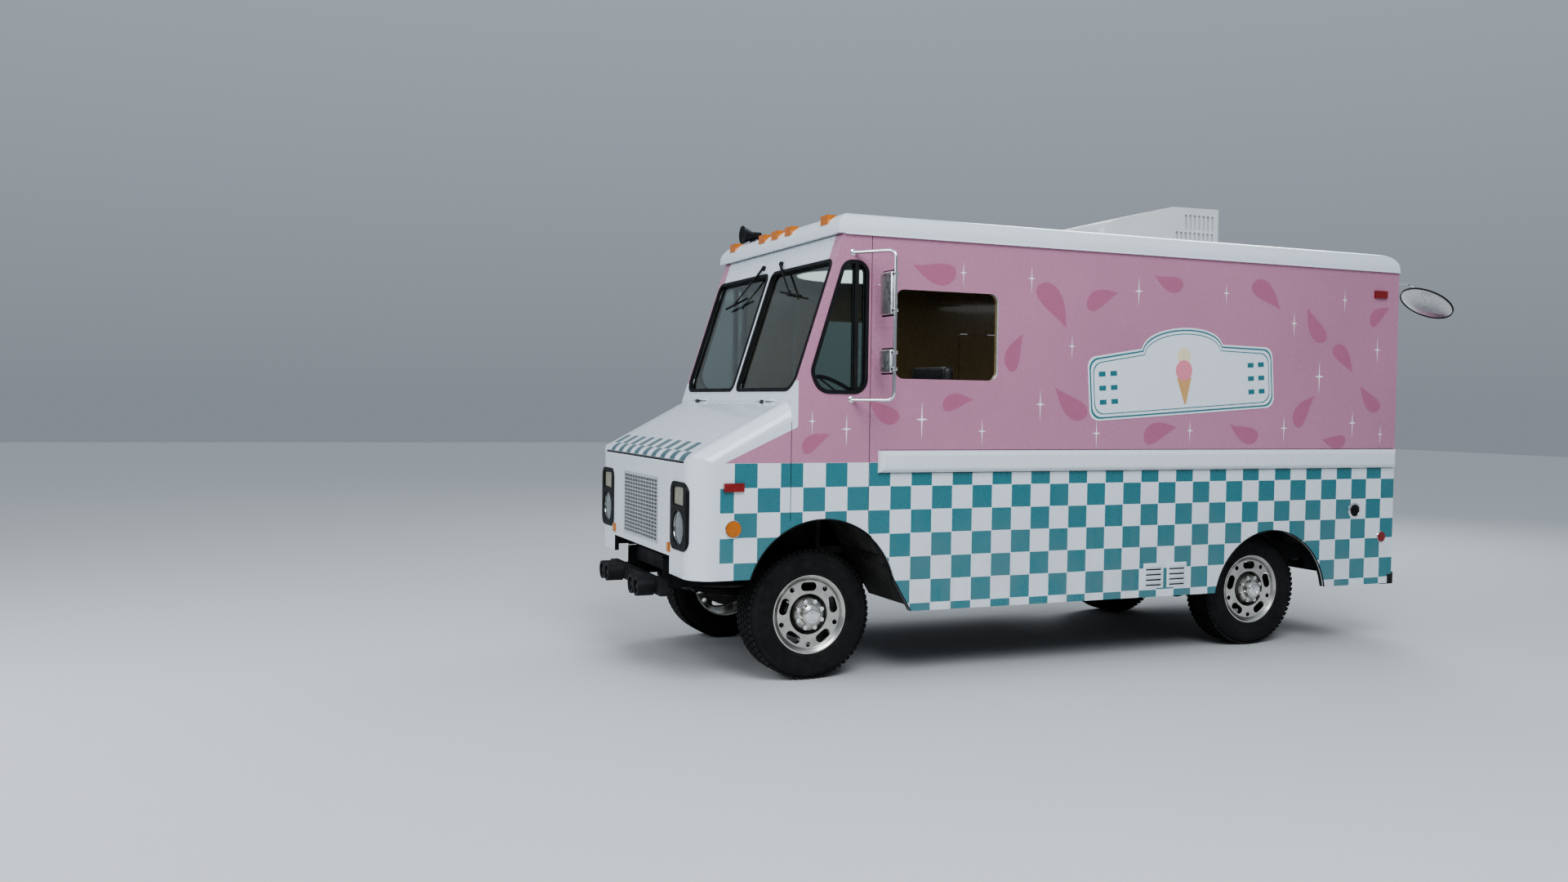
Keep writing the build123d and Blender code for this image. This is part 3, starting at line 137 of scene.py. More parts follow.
def feed(tree, value, target):
    if isinstance(value, Value):
        tree.links.new(value.socket, target)
    elif isinstance(value, tuple):
        target.default_value = (*value, 1.0)
    else:
        target.default_value = value


def wired(tree, kind, inputs, output=0, **settings):
    node = tree.nodes.new("ShaderNode" + kind)
    for setting, choice in settings.items():
        setattr(node, setting, choice)
    for key, value in inputs.items():
        feed(tree, value, node.inputs[key])
    return Value(tree, node.outputs[output])


def operator(operation, swapped=False):
    def apply(self, other=0.0):
        inputs = {int(swapped): self, int(not swapped): other}
        return wired(self.tree, "Math", inputs, operation=operation)

    return apply


class Value:
    __add__, __sub__, __mul__ = operator("ADD"), operator("SUBTRACT"), operator("MULTIPLY")
    __truediv__, __or__, __abs__ = operator("DIVIDE"), operator("MAXIMUM"), operator("ABSOLUTE")
    __gt__, __lt__ = operator("GREATER_THAN"), operator("LESS_THAN")
    __rsub__ = operator("SUBTRACT", swapped=True)
    whole, part, root = operator("FLOOR"), operator("FRACT"), operator("SQRT")

    def __init__(self, tree, socket):
        self.tree = tree
        self.socket = socket

    def span(self, low, high, to_low=0.0, to_high=1.0):
        return wired(self.tree, "MapRange", dict(enumerate((self, low, high, to_low, to_high))))


class Finish:
    def __init__(self, name, **sockets):
        self.material = bpy.data.materials.new(name)
        self.material.use_nodes = True
        self.tree = self.material.node_tree
        self.shader = self.tree.nodes["Principled BSDF"]
        self.place = wired(self.tree, "TexCoord", {}, "Object")
        for socket, value in sockets.items():
            self.set(socket, value)

    def set(self, socket, value):
        feed(self.tree, value, self.shader.inputs[socket.replace("_", " ")])

    def xyz(self, source=None):
        node = self.tree.nodes.new("ShaderNodeSeparateXYZ")
        feed(self.tree, source or self.place, node.inputs[0])
        return [Value(self.tree, output) for output in node.outputs]

    def noise(self, scale, detail=3.0, roughness=0.55, place=None):
        inputs = {"Vector": place or self.place, "Scale": scale, "Detail": detail, "Roughness": roughness}
        return wired(self.tree, "TexNoise", inputs, "Fac")

    def stretched(self, scale, detail=2.0):
        place = wired(self.tree, "Mapping", {"Vector": self.place, "Scale": Vector(scale)}, "Vector")
        return self.noise(1.0, detail, 0.5, place)

    def mix(self, factor, a, b):
        return wired(self.tree, "Mix", {0: factor, 6: a, 7: b}, 2, data_type="RGBA")

    def bump(self, height, distance, strength=0.6):
        inputs = {"Height": height, "Distance": distance, "Strength": strength}
        self.set("Normal", wired(self.tree, "Bump", inputs, "Normal"))


print("finish kit ready")

# %% [markdown]
# ## Paint
# The truck is rolled and sprayed, then lives outside. Its gloss paint has a faint orange peel, a film of
# dust that is thickest near the ground, and streaks where rain runs down. One helper weathers any paint
# colour, so all panels age alike.

# %% Weathered gloss paint
# The white is tinted blue: painted light, the cast of the open sky on a white side.
sky_tinted_white = (0.73, 0.78, 0.82)
dust_tint = (0.3, 0.27, 0.23)
clear_coat = {"Coat_Weight": 0.55, "Coat_Roughness": 0.08}


def shaded(colour, share):
    return tuple(share * channel for channel in colour)


def weather(finish, colour, dirt=0.3):
    x, y, z = finish.xyz()
    low = z.span(0.35, 1.15, 1.0, 0.12)
    blotches = finish.noise(3.2, 5.0).span(0.42, 0.72)
    streaks = finish.stretched((9.0, 9.0, 0.7)).span(0.5, 0.78)
    film = (blotches | streaks) * low
    finish.set("Base_Color", finish.mix(film * dirt, colour, dust_tint))
    finish.set("Roughness", finish.noise(38.0, 2.0).span(0.3, 0.7, 0.24, 0.29) + film * 0.25)
    finish.bump(finish.noise(120.0, 1.0), 0.0002, 0.08)
    return finish.material


def plain_paint(name, colour, dirt=0.3):
    return weather(Finish(name, **clear_coat), colour, dirt)


white_paint = plain_paint("white_gloss_paint", sky_tinted_white, 0.22)
print("paint:", white_paint.name)

# %% [markdown]
# ## The livery
# From the rub rail up the body is pink, and below it is a teal and white check. The pattern is a job for a
# material, not for hundreds of stickers: dividing the distance along the side by the size of a square and
# taking the whole part gives a column number, the height gives a row number, and an even sum is teal. Masks
# keep each colour on the face it belongs to: the outside of the walls and the tail, aft of the nose corner,
# under the slanting line where the pink stops. More masks tell the inside of a panel from its outside.

# %% Checks and pink
square = 0.1413
first_column = -2.5947
check_top = 1.304
check_front = -2.679
pink_start, pink_slant = -2.6557, 0.4637
pink = (0.5, 0.228, 0.335)
teal = (0.03, 0.178, 0.21)
panel_brown = (0.3, 0.22, 0.115)
bay_black = (0.012, 0.012, 0.013)
tail_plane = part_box("rear_frame")[0][1] + 0.0385
cowl_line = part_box("cab")[0][1] + 0.024
door_face = -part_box("side_door")[0][0]
slope, cowl_y, glass_foot = radians(17.93), -2.24865, 1.655
lining_x = 0.985


def livery(name, inside_mask=None, lining=panel_brown, post=None, face=1.0, bay_mask=None):
    finish = Finish(name, **clear_coat)
    x, y, z = finish.xyz()
    wide = abs(x)
    rear = y > tail_plane
    shown = (wide > face - 0.001) | rear
    column = (y + rear * (x - y) - first_column) / square
    row = (check_top - z) / square
    even = ((column.whole() + row.whole()) * 0.5).part() < 0.25
    for lines in (column, row):
        even = even * (abs(lines.part() - 0.5) < 0.492)
    checked = z < check_top
    slant = (y - pink_start) * pink_slant
    pink_zone = (z - check_top < slant) | (y > cowl_y + 0.04)
    if post:
        shown = shown | (wide > post) * (z > 1.7)
    tone = finish.noise(1.3, 2.0).span(0.3, 0.7)
    pink_tone = finish.mix(tone, pink, shaded(pink, 0.93))
    teal_tone = finish.mix(tone, teal, shaded(teal, 1.12))
    colour = finish.mix(shown * (1.0 - checked) * pink_zone, sky_tinted_white, pink_tone)
    colour = finish.mix(shown * checked * (y > check_front) * even, colour, teal_tone)
    if inside_mask:
        inner = finish.mix(z > 1.0, bay_black, lining)
        colour = finish.mix(inside_mask(finish), colour, inner)
    if bay_mask:
        colour = finish.mix(bay_mask(finish), colour, bay_black)
    return weather(finish, colour, 0.26)


print("tail plane, cowl line and door face:", [round(v, 3) for v in (tail_plane, cowl_line, door_face)])

# %% Inside and outside


def inside_walls(finish):
    x, y, z = finish.xyz()
    return (abs(x) < lining_x) * (y < 2.45)


def inside_door(finish):
    x, y, z = finish.xyz()
    return x > 0.02 - door_face


def inside_cab(finish):
    x, y, z = finish.xyz()
    depth = (y - cowl_y) * cos(slope) - (z - glass_foot) * sin(slope)
    return (depth > 0.02) * (y > cowl_y + 0.02) * (abs(x) < lining_x)


# The firewall is painted black, and the black also stands in for the shade in the bay seen through the
# grille.
def firewall(finish):
    x, y, z = finish.xyz()
    wide = abs(x)
    return (y < cowl_line) * (z < 1.6) * (wide + z < 2.5) * (wide < 0.968)


def inside_bay(finish):
    x, y, z = finish.xyz()
    across, along, upward = finish.xyz(wired(finish.tree, "TexCoord", {}, "Normal"))
    return x * across + (y + 2.3) * along + (z - 1.05) * upward < 0.0


wall_livery = livery("wall_livery", inside_walls)
cab_livery = livery("cab_livery", inside_cab, post=0.885, bay_mask=firewall)
nose_livery = livery("nose_livery", inside_bay, bay_black)
door_livery = livery("door_livery", inside_door, face=door_face)
tail_livery = livery("tail_livery")
print("liveries: walls, cab, nose, side door and tail")

# %% [markdown]
# ## Hood paint
# The hood is white, and its rolled front lip carries two rows of smaller checks from side to side. The same
# counting works with X in place of Y, and a single height parts the two rows. Its lower edge is a dark
# rubber line.

# %% The checked hood lip
hood_square = 0.0928
hood_low, hood_middle, hood_high = 1.312, 1.362, 1.412
hood_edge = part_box("hood")[0][2] + 0.008
hood_finish = Finish("hood_paint", **clear_coat)
x, y, z = hood_finish.xyz()
hood_count = (x / hood_square).whole() + (z > hood_middle)
lip = (z > hood_low) * (z < hood_high) * ((hood_count * 0.5).part() < 0.25) * (y < -2.6)
hood_colour = hood_finish.mix(lip, sky_tinted_white, shaded(teal, 0.55))
hood_colour = hood_finish.mix(z < hood_edge, hood_colour, bay_black)
hood_colour = hood_finish.mix(inside_bay(hood_finish), hood_colour, bay_black)
hood_paint = weather(hood_finish, hood_colour, 0.18)
print("hood edge at", round(hood_edge, 3))

# %% [markdown]
# ## Metals, rubber, glass and plastic
# Bare metal is told by how it scatters light: a polished rim is smooth and dimpled by handling, galvanised
# and brushed sheets have fine directional scratches. Rubber is never black, and dust settles on it. Glass
# is a thin tinted sheet, and lamp lenses are coloured glass with ribs.

# %% Hard finishes


def metal(name, colour, rough, scratch, grime):
    finish = Finish(name, Metallic=1.0)
    lines = finish.stretched(scratch, 4.0)
    dirt = finish.noise(7.0, 5.0).span(0.5, 0.8, 0.0, grime)
    finish.set("Base_Color", finish.mix(dirt, colour, (0.1, 0.085, 0.07)))
    finish.set("Roughness", lines.span(0.3, 0.7, rough * 0.8, rough * 1.35))
    finish.bump(lines, 0.0004, 0.25)
    return finish.material


even_scratch = (40.0, 40.0, 40.0)
mirror_steel = metal("mirror_steel", (0.8, 0.8, 0.8), 0.1, even_scratch, 0.06)
lamp_silver = metal("lamp_silver", (0.36, 0.37, 0.36), 0.12, even_scratch, 0.1)
bright_steel = metal("bright_steel", (0.86, 0.86, 0.85), 0.32, even_scratch, 0.04)
brushed_steel = metal("brushed_steel", (0.6, 0.6, 0.6), 0.3, (2.0, 80.0, 80.0), 0.15)
rusty_steel = metal("rusty_steel", (0.3, 0.24, 0.2), 0.55, (12.0, 12.0, 12.0), 0.75)
print("paints and metals:", len(bpy.data.materials))

# %% Coats, rubber and vinyl
usual = (0.3, 0.7)


def grained(name, colours, stain, gloss, grain, **sockets):
    finish = Finish(name, **sockets)
    scale, detail, *limits = stain
    finish.set("Base_Color", finish.mix(finish.noise(scale, detail).span(*limits), *colours))
    finish.set("Roughness", finish.noise(gloss[0], 3.0).span(*usual, *gloss[1:]))
    scale, detail, depth, strength = grain
    finish.bump(finish.noise(scale, detail), depth, strength)
    return finish.material


def coated(name, colour, rough, grain, grain_depth, dust, shine=0.5):
    stain = (5.0, 6.0, 0.45, 0.75, 0.0, dust)
    gloss = (22.0, rough * 0.85, min(rough * 1.2, 1.0))
    bumps = (grain, 2.0, grain_depth, 0.5)
    return grained(name, (colour, dust_tint), stain, gloss, bumps, Specular_IOR_Level=shine)


frame_black = coated("frame_black", (0.01, 0.01, 0.011), 0.56, 60.0, 0.001, 0.05, 0.28)
cast_iron = coated("cast_iron", (0.045, 0.043, 0.042), 0.75, 120.0, 0.0016, 0.3)
black_rubber = coated("black_rubber", (0.008, 0.008, 0.009), 0.6, 150.0, 0.0005, 0.03, 0.25)
black_plastic = coated("black_plastic", (0.009, 0.009, 0.01), 0.5, 240.0, 0.0004, 0.03, 0.22)
floor_plate = coated("floor_plate", (0.055, 0.053, 0.05), 0.62, 30.0, 0.002, 0.35)
trim_grey = coated("trim_grey", (0.075, 0.07, 0.06), 0.6, 180.0, 0.0006, 0.12)
cooler_white = coated("cooler_white", (0.66, 0.67, 0.66), 0.45, 140.0, 0.0005, 0.14)
# The white grille is coloured grey: painted shade for the dark holes through it.
grille_white = coated("grille_white", (0.47, 0.49, 0.5), 0.35, 80.0, 0.0004, 0.3)
studio_paper = coated("studio_paper", (0.62, 0.62, 0.61), 0.85, 3.0, 0.0003, 0.02)
tyre_rubber = grained("tyre_rubber", ((0.007, 0.007, 0.007), (0.045, 0.042, 0.038)),
                      (6.0, 6.0, 0.4, 0.75, 0.02, 0.3), (25.0, 0.62, 0.88), (220.0, 3.0, 0.001, 0.5),
                      Specular_IOR_Level=0.3)
seat_vinyl = grained("seat_vinyl", ((0.016, 0.016, 0.018), (0.04, 0.038, 0.036)),
                     (9.0, 4.0, 0.35, 0.75), (30.0, 0.38, 0.58), (420.0, 2.0, 0.0012, 0.55),
                     Coat_Weight=0.2, Coat_Roughness=0.3)
print("finishes so far:", len(bpy.data.materials))

# %% Dusty wheels with painted shade


def middle(low, high):
    return Vector([(a + b) / 2 for a, b in zip(low, high)])


wheel_finish = Finish("wheel_alloy", Metallic=1.0)
front_hub = middle(*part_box("tyre_front_left"))
rear_hub = middle(*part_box("tyre_rear_left"))
x, y, z = wheel_finish.xyz()
fore_aft = abs(y - (front_hub.y + rear_hub.y) / 2) - (rear_hub.y - front_hub.y) / 2
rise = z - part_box("tyre_front_left")[1][2] / 2
spread = (fore_aft * fore_aft + rise * rise).root()
# The bowl round the hub and a ring at the rim step are painted darker: painted shade in these recesses, with
# brake dust in the bowl.
bowl = spread.span(0.064, 0.098) * spread.span(0.12, 0.11)
rim_step_shade = spread.span(0.2, 0.205) * spread.span(0.222, 0.212)
patchy = wheel_finish.noise(16.0, 5.0).span(0.3, 0.7, 0.55, 1.0)
film = wheel_finish.noise(9.0, 5.0).span(0.42, 0.75, 0.06, 0.34)
# Here dust holds the painted shade of the bowl and the rim step as well as a random film of dust.
dust = (bowl | rim_step_shade * 0.75) * patchy | film
wheel_finish.set("Base_Color", wheel_finish.mix(dust, (0.66, 0.64, 0.6), (0.03, 0.026, 0.022)))
wheel_finish.set("Roughness", dust.span(0.0, 1.0, 0.18, 0.6))
wheel_finish.bump(wheel_finish.noise(90.0, 2.0), 0.0003, 0.2)
wheel_alloy = wheel_finish.material
print("front and rear hubs at", round(front_hub.y, 3), round(rear_hub.y, 3))

# %% Glass and lamp lenses


def glass(name, colour):
    finish = Finish(name, Base_Color=colour, IOR=1.45, Transmission_Weight=1.0)
    finish.set("Roughness", finish.noise(4.0, 5.0).span(0.4, 0.8, 0.03, 0.08))
    return finish.material


def lens(name, colour, ribs):
    finish = Finish(name, IOR=1.49, Transmission_Weight=0.35, Coat_Weight=0.6, Coat_Roughness=0.05)
    tone = finish.noise(30.0, 2.0).span(*usual)
    finish.set("Base_Color", finish.mix(tone, colour, shaded(colour, 0.75)))
    finish.set("Roughness", tone.span(0.0, 1.0, 0.12, 0.22))
    finish.bump(finish.stretched(ribs), 0.0015, 0.6)
    return finish.material


window_glass = glass("window_glass", (0.5, 0.58, 0.55))
lamp_glass = glass("lamp_glass", (0.92, 0.95, 0.96))
amber_lens = lens("amber_lens", (0.86, 0.25, 0.01), (60.0, 60.0, 260.0))
cream_lens = lens("cream_lens", (0.62, 0.6, 0.47), (200.0, 60.0, 60.0))
red_lens = lens("red_lens", (0.4, 0.014, 0.012), (60.0, 60.0, 260.0))
print("all finishes:", len(bpy.data.materials))

# %% [markdown]
# ## Dress the CAD nodes
# Each node keeps its shape and takes a finish. A short table says which, so a reader can see at a glance
# what the truck is made of.

# %% Hand out the finishes
corners = ("front_left", "front_right", "rear_left", "rear_right")
dressing = (
    (frame_black, "chassis_frame fuel_tank front_axle leaf_springs rear_axle propshaft tie_rod"),
    (frame_black, "seat_base front_bar rear_step"),
    (cast_iron, "engine knuckle_left knuckle_right"),
    (rusty_steel, "exhaust"),
    (floor_plate, "floor"),
    (wall_livery, "left_wall right_wall serving_flap"),
    (cab_livery, "cab"),
    (nose_livery, "nose"),
    (hood_paint, "hood"),
    (door_livery, "side_door"),
    (tail_livery, "rear_frame rear_door_left rear_door_right"),
    (white_paint, "roof rub_rails"),
    (window_glass, "cab_glass rear_glass_left rear_glass_right side_door_glass"),
    (black_rubber, "window_seals"),
    (black_plastic, "lamp_bezels wipers chime_speaker steering_wheel seat_cushions"),
    (brushed_steel, "serving_shelf freezer"),
    (mirror_steel, "mirrors"),
    (grille_white, "grille"),
    (cooler_white, "roof_cooler"),
    (trim_grey, "engine_cover dash"),
    (lamp_glass, "headlamps"),
    (amber_lens, "amber_lamps"),
    (red_lens, "red_lamps"),
    (wheel_alloy, " ".join(f"wheel_{corner}" for corner in corners)),
    (tyre_rubber, " ".join(f"tyre_{corner}" for corner in corners)),
)
dressed = 0
for finish, names in dressing:
    for name in names.split():
        dressed += 1
        for slot in nodes[name].material_slots:
            slot.material = finish
studio_floor.data.materials.append(studio_paper)
print("finishes handed to", dressed, "nodes of", len(nodes))

# %% [markdown]
# ## Mesh helpers
# A softened box, a rod, a lathed ring and an extruded plate make most of a truck's trim. Each helper adds
# one to an open bmesh, so a piece can be built from many of them and closed once. Bevels round every edge a
# little, because real edges catch a line of light.

# %% Box, rod, lathe, plate
both_sides = (-1, 1)
forward, aft, outboard = (0.0, -1.0, 0.0), (0.0, 1.0, 0.0), (1.0, 0.0, 0.0)


def move_to(along, place=(0.0, 0.0, 0.0)):
    return Matrix.Translation(place) @ Vector(along).to_track_quat("Z", "Y").to_matrix().to_4x4()


def add_box(bm, low, high, soft=0.0, steps=2, turned=None):
    size = [abs(b - a) for a, b in zip(low, high)]
    shape = Matrix.Translation(middle(low, high)) @ Matrix.Diagonal((*size, 1.0))
    verts = bmesh.ops.create_cube(bm, size=1.0, matrix=shape)["verts"]
    if soft:
        edges = list({edge for vert in verts for edge in vert.link_edges})
        result = bmesh.ops.bevel(bm, geom=edges, offset=soft, segments=steps, affect="EDGES", profile=0.5)
        kept = {vert for vert in verts if vert.is_valid}
        verts = list({vert for face in result["faces"] for vert in face.verts} | kept)
    if turned:
        bmesh.ops.transform(bm, matrix=turned, verts=verts)


def add_rod(bm, start, end, radius, sides=16, end_radius=None):
    start, end = Vector(start), Vector(end)
    bmesh.ops.create_cone(bm, cap_ends=True, segments=sides, radius1=radius, radius2=end_radius or radius,
                          depth=(end - start).length, matrix=move_to(end - start, (start + end) / 2))


def add_lathe(bm, profile, place, along, steps=48):
    pose = move_to(along, place)
    ring = [bm.verts.new(pose @ Vector((radius, 0.0, height))) for radius, height in profile]
    edges = [bm.edges.new((a, b)) for a, b in zip(ring, ring[1:])]
    axis = Vector(along).normalized()
    bmesh.ops.spin(bm, geom=ring + edges, cent=place, axis=axis, angle=2 * pi, steps=steps, use_merge=True)


def add_plate(bm, outline, thickness):
    face = bm.faces.new([bm.verts.new(point) for point in outline])
    grown = bmesh.ops.extrude_face_region(bm, geom=[face])["geom"]
    verts = [part for part in grown if isinstance(part, bmesh.types.BMVert)]
    bmesh.ops.translate(bm, vec=thickness, verts=verts)


print("a rod along X is turned by", [round(v, 3) for v in move_to(outboard).to_euler()])

# %% Dome, ring and a finished piece


def add_dome(bm, outline, place, along, steps=20):
    add_lathe(bm, [(0.0, 0.0), (outline[0][0], 0.0), *outline], place, along, steps)


def add_ring(bm, inner, outer, shoulder, crown, place, along, steps):
    profile = [(inner, 0.0), (outer, 0.0), (outer, shoulder), ((inner + outer) / 2, crown), (inner, shoulder)]
    add_lathe(bm, profile + profile[:1], place, along, steps)


def finished(bm, name, finish, stands_for=None, body="truck", angle=35.0):
    bmesh.ops.remove_doubles(bm, verts=bm.verts, dist=0.00002)
    bmesh.ops.recalc_face_normals(bm, faces=bm.faces)
    mesh = bpy.data.meshes.new(name)
    bm.to_mesh(mesh)
    bm.free()
    mesh.materials.append(finish)
    mesh.shade_smooth()
    mesh.set_sharp_from_angle(angle=radians(angle))
    piece = placed(name, mesh)
    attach(piece, body)
    if stands_for:
        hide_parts(stands_for)
    print(name, "faces", len(mesh.polygons))
    return piece


# %% [markdown]
# ## Tyres
# A light-truck tyre is a carcass with a tread of separate blocks. Spinning one section gives the carcass
# with its bead, its bulging sidewall and its shoulder. The tread blocks are boxes set round it in five
# rows, each row turned half a block against the next, so the grooves between them are real. Raised rings on
# the sidewall stand for its scuff ribs.

# %% Build four tyres
carcass = (
    # radius, distance out from the tyre's middle
    (0.2368, -0.107), (0.244, -0.1095), (0.262, -0.1125), (0.29, -0.1158), (0.315, -0.1172), (0.34, -0.1135),
    (0.36, -0.106), (0.3745, -0.096), (0.3795, -0.084), (0.3815, -0.04), (0.382, 0.0), (0.3815, 0.04),
    (0.3795, 0.084), (0.3745, 0.096), (0.36, 0.106), (0.34, 0.1135), (0.315, 0.1172), (0.29, 0.115),
    (0.262, 0.1125), (0.244, 0.1095), (0.2368, 0.107), (0.2368, -0.107),
)
tread_rows = (
    # across, half width, half length round, phase, crown radius
    (-0.083, 0.016, 0.0135, 0.0, 0.3885),
    (-0.0435, 0.0165, 0.015, 0.5, 0.3893),
    (0.0, 0.018, 0.0155, 0.0, 0.3893),
    (0.0435, 0.0165, 0.015, 0.5, 0.3893),
    (0.083, 0.016, 0.0135, 0.0, 0.3885),
)
tread_foot, tread_pitches, tread_skew = 0.376, 66, 0.35
rib_half = 0.003
for corner in corners:
    hub = middle(*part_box(f"tyre_{corner}"))
    bm = bmesh.new()
    add_lathe(bm, carcass, hub, outboard, 96)
    for radius, out in ((0.262, 0.1125), (0.335, 0.1142)):
        for side in both_sides:
            rib = [(radius - rib_half, side * out), (radius, side * (out + 0.0022)),
                   (radius + rib_half, side * (out - 0.0005))]
            add_lathe(bm, rib, hub, outboard, 96)
    for across, half, length, phase, crown in tread_rows:
        lift = Matrix.Translation((across, 0.0, (tread_foot + crown) / 2))
        skew = Matrix.Rotation(tread_skew if across > 0 else -tread_skew, 4, "Z")
        block = lift @ skew @ Matrix.Diagonal((2 * half, 2 * length, crown - tread_foot, 1.0))
        for pitch in range(tread_pitches):
            turned = Matrix.Rotation(2 * pi * (pitch + phase) / tread_pitches, 4, "X")
            bmesh.ops.create_cube(bm, size=1.0, matrix=Matrix.Translation(hub) @ turned @ block)
    finished(bm, f"treaded_tyre_{corner}", tyre_rubber, f"tyre_{corner}", f"wheel_{corner}")

# %% [markdown]
# ## Wheel trim
# The polished wheels are held by eight nuts round a deep hub. We add the nuts, a stepped centre cap and the
# valve, turned on the same axis as the wheel so that they spin with it.

# %% Nuts, cap and valve
nut_circle, valve_circle, valve_angle = 0.0825, 0.19, 0.55
centre_cap = [(0.046, 0.139), (0.046, 0.143), (0.043, 0.145), (0.03, 0.1455), (0.028, 0.143),
              (0.014, 0.144), (0.012, 0.1475), (0.0, 0.148)]


def on_circle(radius, angle, x=0.0):
    return Vector((x, radius * cos(angle), radius * sin(angle)))


for corner in corners:
    hub = middle(*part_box(f"wheel_{corner}"))
    outward = Vector((1.0 if hub.x > 0 else -1.0, 0.0, 0.0))
    hub.x = middle(*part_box(f"tyre_{corner}")).x
    bm = bmesh.new()
    for nut in range(8):
        spot = hub + on_circle(nut_circle, 2 * pi * (nut + 0.5) / 8)
        add_rod(bm, spot + outward * 0.088, spot + outward * 0.112, 0.0145, 6)
        add_rod(bm, spot + outward * 0.11, spot + outward * 0.12, 0.0085, 12, 0.0065)
    add_lathe(bm, centre_cap, hub, outward, 40)
    valve = hub + on_circle(valve_circle, valve_angle)
    add_rod(bm, valve + outward * 0.07, valve + outward * 0.1, 0.0045, 10)
    finished(bm, f"wheel_trim_{corner}", mirror_steel, body=f"wheel_{corner}")

# %% [markdown]
# ## Rounded tubes
# Mirror loops and grab handles are bent from tube. A bend is a run of short straight steps round a corner,
# and a tube is a ring of points carried along the run. The ring is kept from twisting by turning it only as
# much as the run turns. A closed loop, such as a welt or a piping cord, starts and ends in the middle of
# its first side.

# %% Bend, tube and loop


def bent(points, radius, steps=6):
    path = [Vector(points[0])]
    for before, corner, after in zip(points, points[1:], points[2:]):
        before, corner, after = Vector(before), Vector(corner), Vector(after)
        into, out = (before - corner).normalized(), (after - corner).normalized()
        reach = radius / max(0.05, tan(into.angle(out) / 2))
        start, end = corner + into * reach, corner + out * reach
        for step in range(steps + 1):
            t = step / steps
            path.append((1 - t) ** 2 * start + 2 * t * (1 - t) * corner + t ** 2 * end)
    path.append(Vector(points[-1]))
    return path


def add_tube(bm, path, radius, sides=14):
    heading = (path[1] - path[0]).normalized()
    side = heading.orthogonal().normalized()
    last = len(path) - 1
    rings = []
    for index, point in enumerate(path):
        ahead = (path[min(index + 1, last)] - path[max(index - 1, 0)]).normalized()
        side = (heading.rotation_difference(ahead) @ side).normalized()
        heading = ahead
        pose = Matrix((side, ahead.cross(side), ahead)).transposed().to_4x4()
        pose.translation = point
        capped = index in (0, last)
        ring = bmesh.ops.create_circle(bm, cap_ends=capped, segments=sides, radius=radius, matrix=pose)
        rings.append(list({edge for vert in ring["verts"] for edge in vert.link_edges}))
    for first, second in zip(rings, rings[1:]):
        bmesh.ops.bridge_loops(bm, edges=first + second)


def about(point, angle, axis):
    return Matrix.Translation(point) @ Matrix.Rotation(angle, 4, axis) @ Matrix.Translation(-Vector(point))


def rectangle(u0, v0, u1, v1):
    return (u0, v0), (u1, v0), (u1, v1), (u0, v1)


def add_loop(bm, points, bend, steps, radius, sides):
    start = middle(points[0], points[1])
    add_tube(bm, bent([start, *points[1:], points[0], start], bend, steps), radius, sides)


print("a quarter bend has", len(bent([(0, 0, 0), (1, 0, 0), (1, 1, 0)], 0.1)), "points")

# %% [markdown]
# ## Door mirrors
# Each side has a loop of bent tube standing off the body, with a tall flat mirror over a small square one.
# The backs are polished steel, and a black rubber welt grips the glass all round. The loop stands on two
# small domed feet, and each head hangs on it by clamps. The round mirror over the tail is a dished one that
# shows the rear step from the cab.

# %% Mirror loops
wall_x = 1.0
foot_y, head_y = -1.87265, -1.71265
loop_low, loop_high, loop_x = 1.672, 2.53, 1.23
tail_axis = Vector((0.0, sin(radians(33)), cos(radians(33))))
tail_spot = Vector((0.94, 2.82335, 2.44))
tail_foot = (0.94, 2.4757, 2.57)
bm = bmesh.new()
for side in both_sides:
    foot, bend = (side * wall_x, foot_y), (side * loop_x, head_y)
    loop = [(*foot, loop_high), (*bend, loop_high), (*bend, loop_low), (*foot, loop_low)]
    add_tube(bm, bent(loop, 0.05), 0.0105)
    for z in (loop_high, loop_low):
        add_dome(bm, [(0.0195, 0.004), (0.014, 0.0075), (0.0, 0.0085)], (*foot, z), (side, 0.0, 0.0))
    for z in (2.395, 2.185, 1.945, 1.85):
        low, high = (side * 1.213, head_y - 0.016, z - 0.009), (side * 1.24, head_y + 0.016, z + 0.009)
        add_box(bm, low, high, 0.003)
arm = [tail_foot, (0.94, 2.665, 2.57), (0.94, 2.765, 2.52), tail_spot + tail_axis * 0.01]
add_tube(bm, bent(arm, 0.05), 0.0085)
add_dome(bm, [(0.0215, 0.004), (0.015, 0.0075), (0.0, 0.0085)], tail_foot, aft)
finished(bm, "mirror_loops", mirror_steel)

# %% Mirror heads and their welts
mirror_panes = ((2.288, 0.262), (1.897, 0.15))
dish = [(0.1865, 0.0), (0.1865, 0.0045), (0.17, 0.013), (0.14, 0.0245), (0.1, 0.0345), (0.055, 0.041),
        (0.0, 0.0435), (0.0, 0.0405), (0.055, 0.038), (0.1, 0.0315), (0.14, 0.0215), (0.168, 0.0105),
        (0.18, 0.0)]
heads, welts = bmesh.new(), bmesh.new()
for side in both_sides:
    for z, height in mirror_panes:
        low = (side * 1.0665, head_y - 0.0185, z - height / 2 + 0.007)
        high = (side * 1.2165, head_y + 0.004, z + height / 2 - 0.007)
        add_box(heads, low, high, 0.011, 4)
        reach = height / 2 - 0.004
        edge = [(side * u, head_y + 0.004, v) for u, v in rectangle(1.064, z - reach, 1.219, z + reach)]
        add_loop(welts, edge, 0.012, 5, 0.0062, 10)
add_lathe(heads, dish + dish[:1], tail_spot, tail_axis, 64)
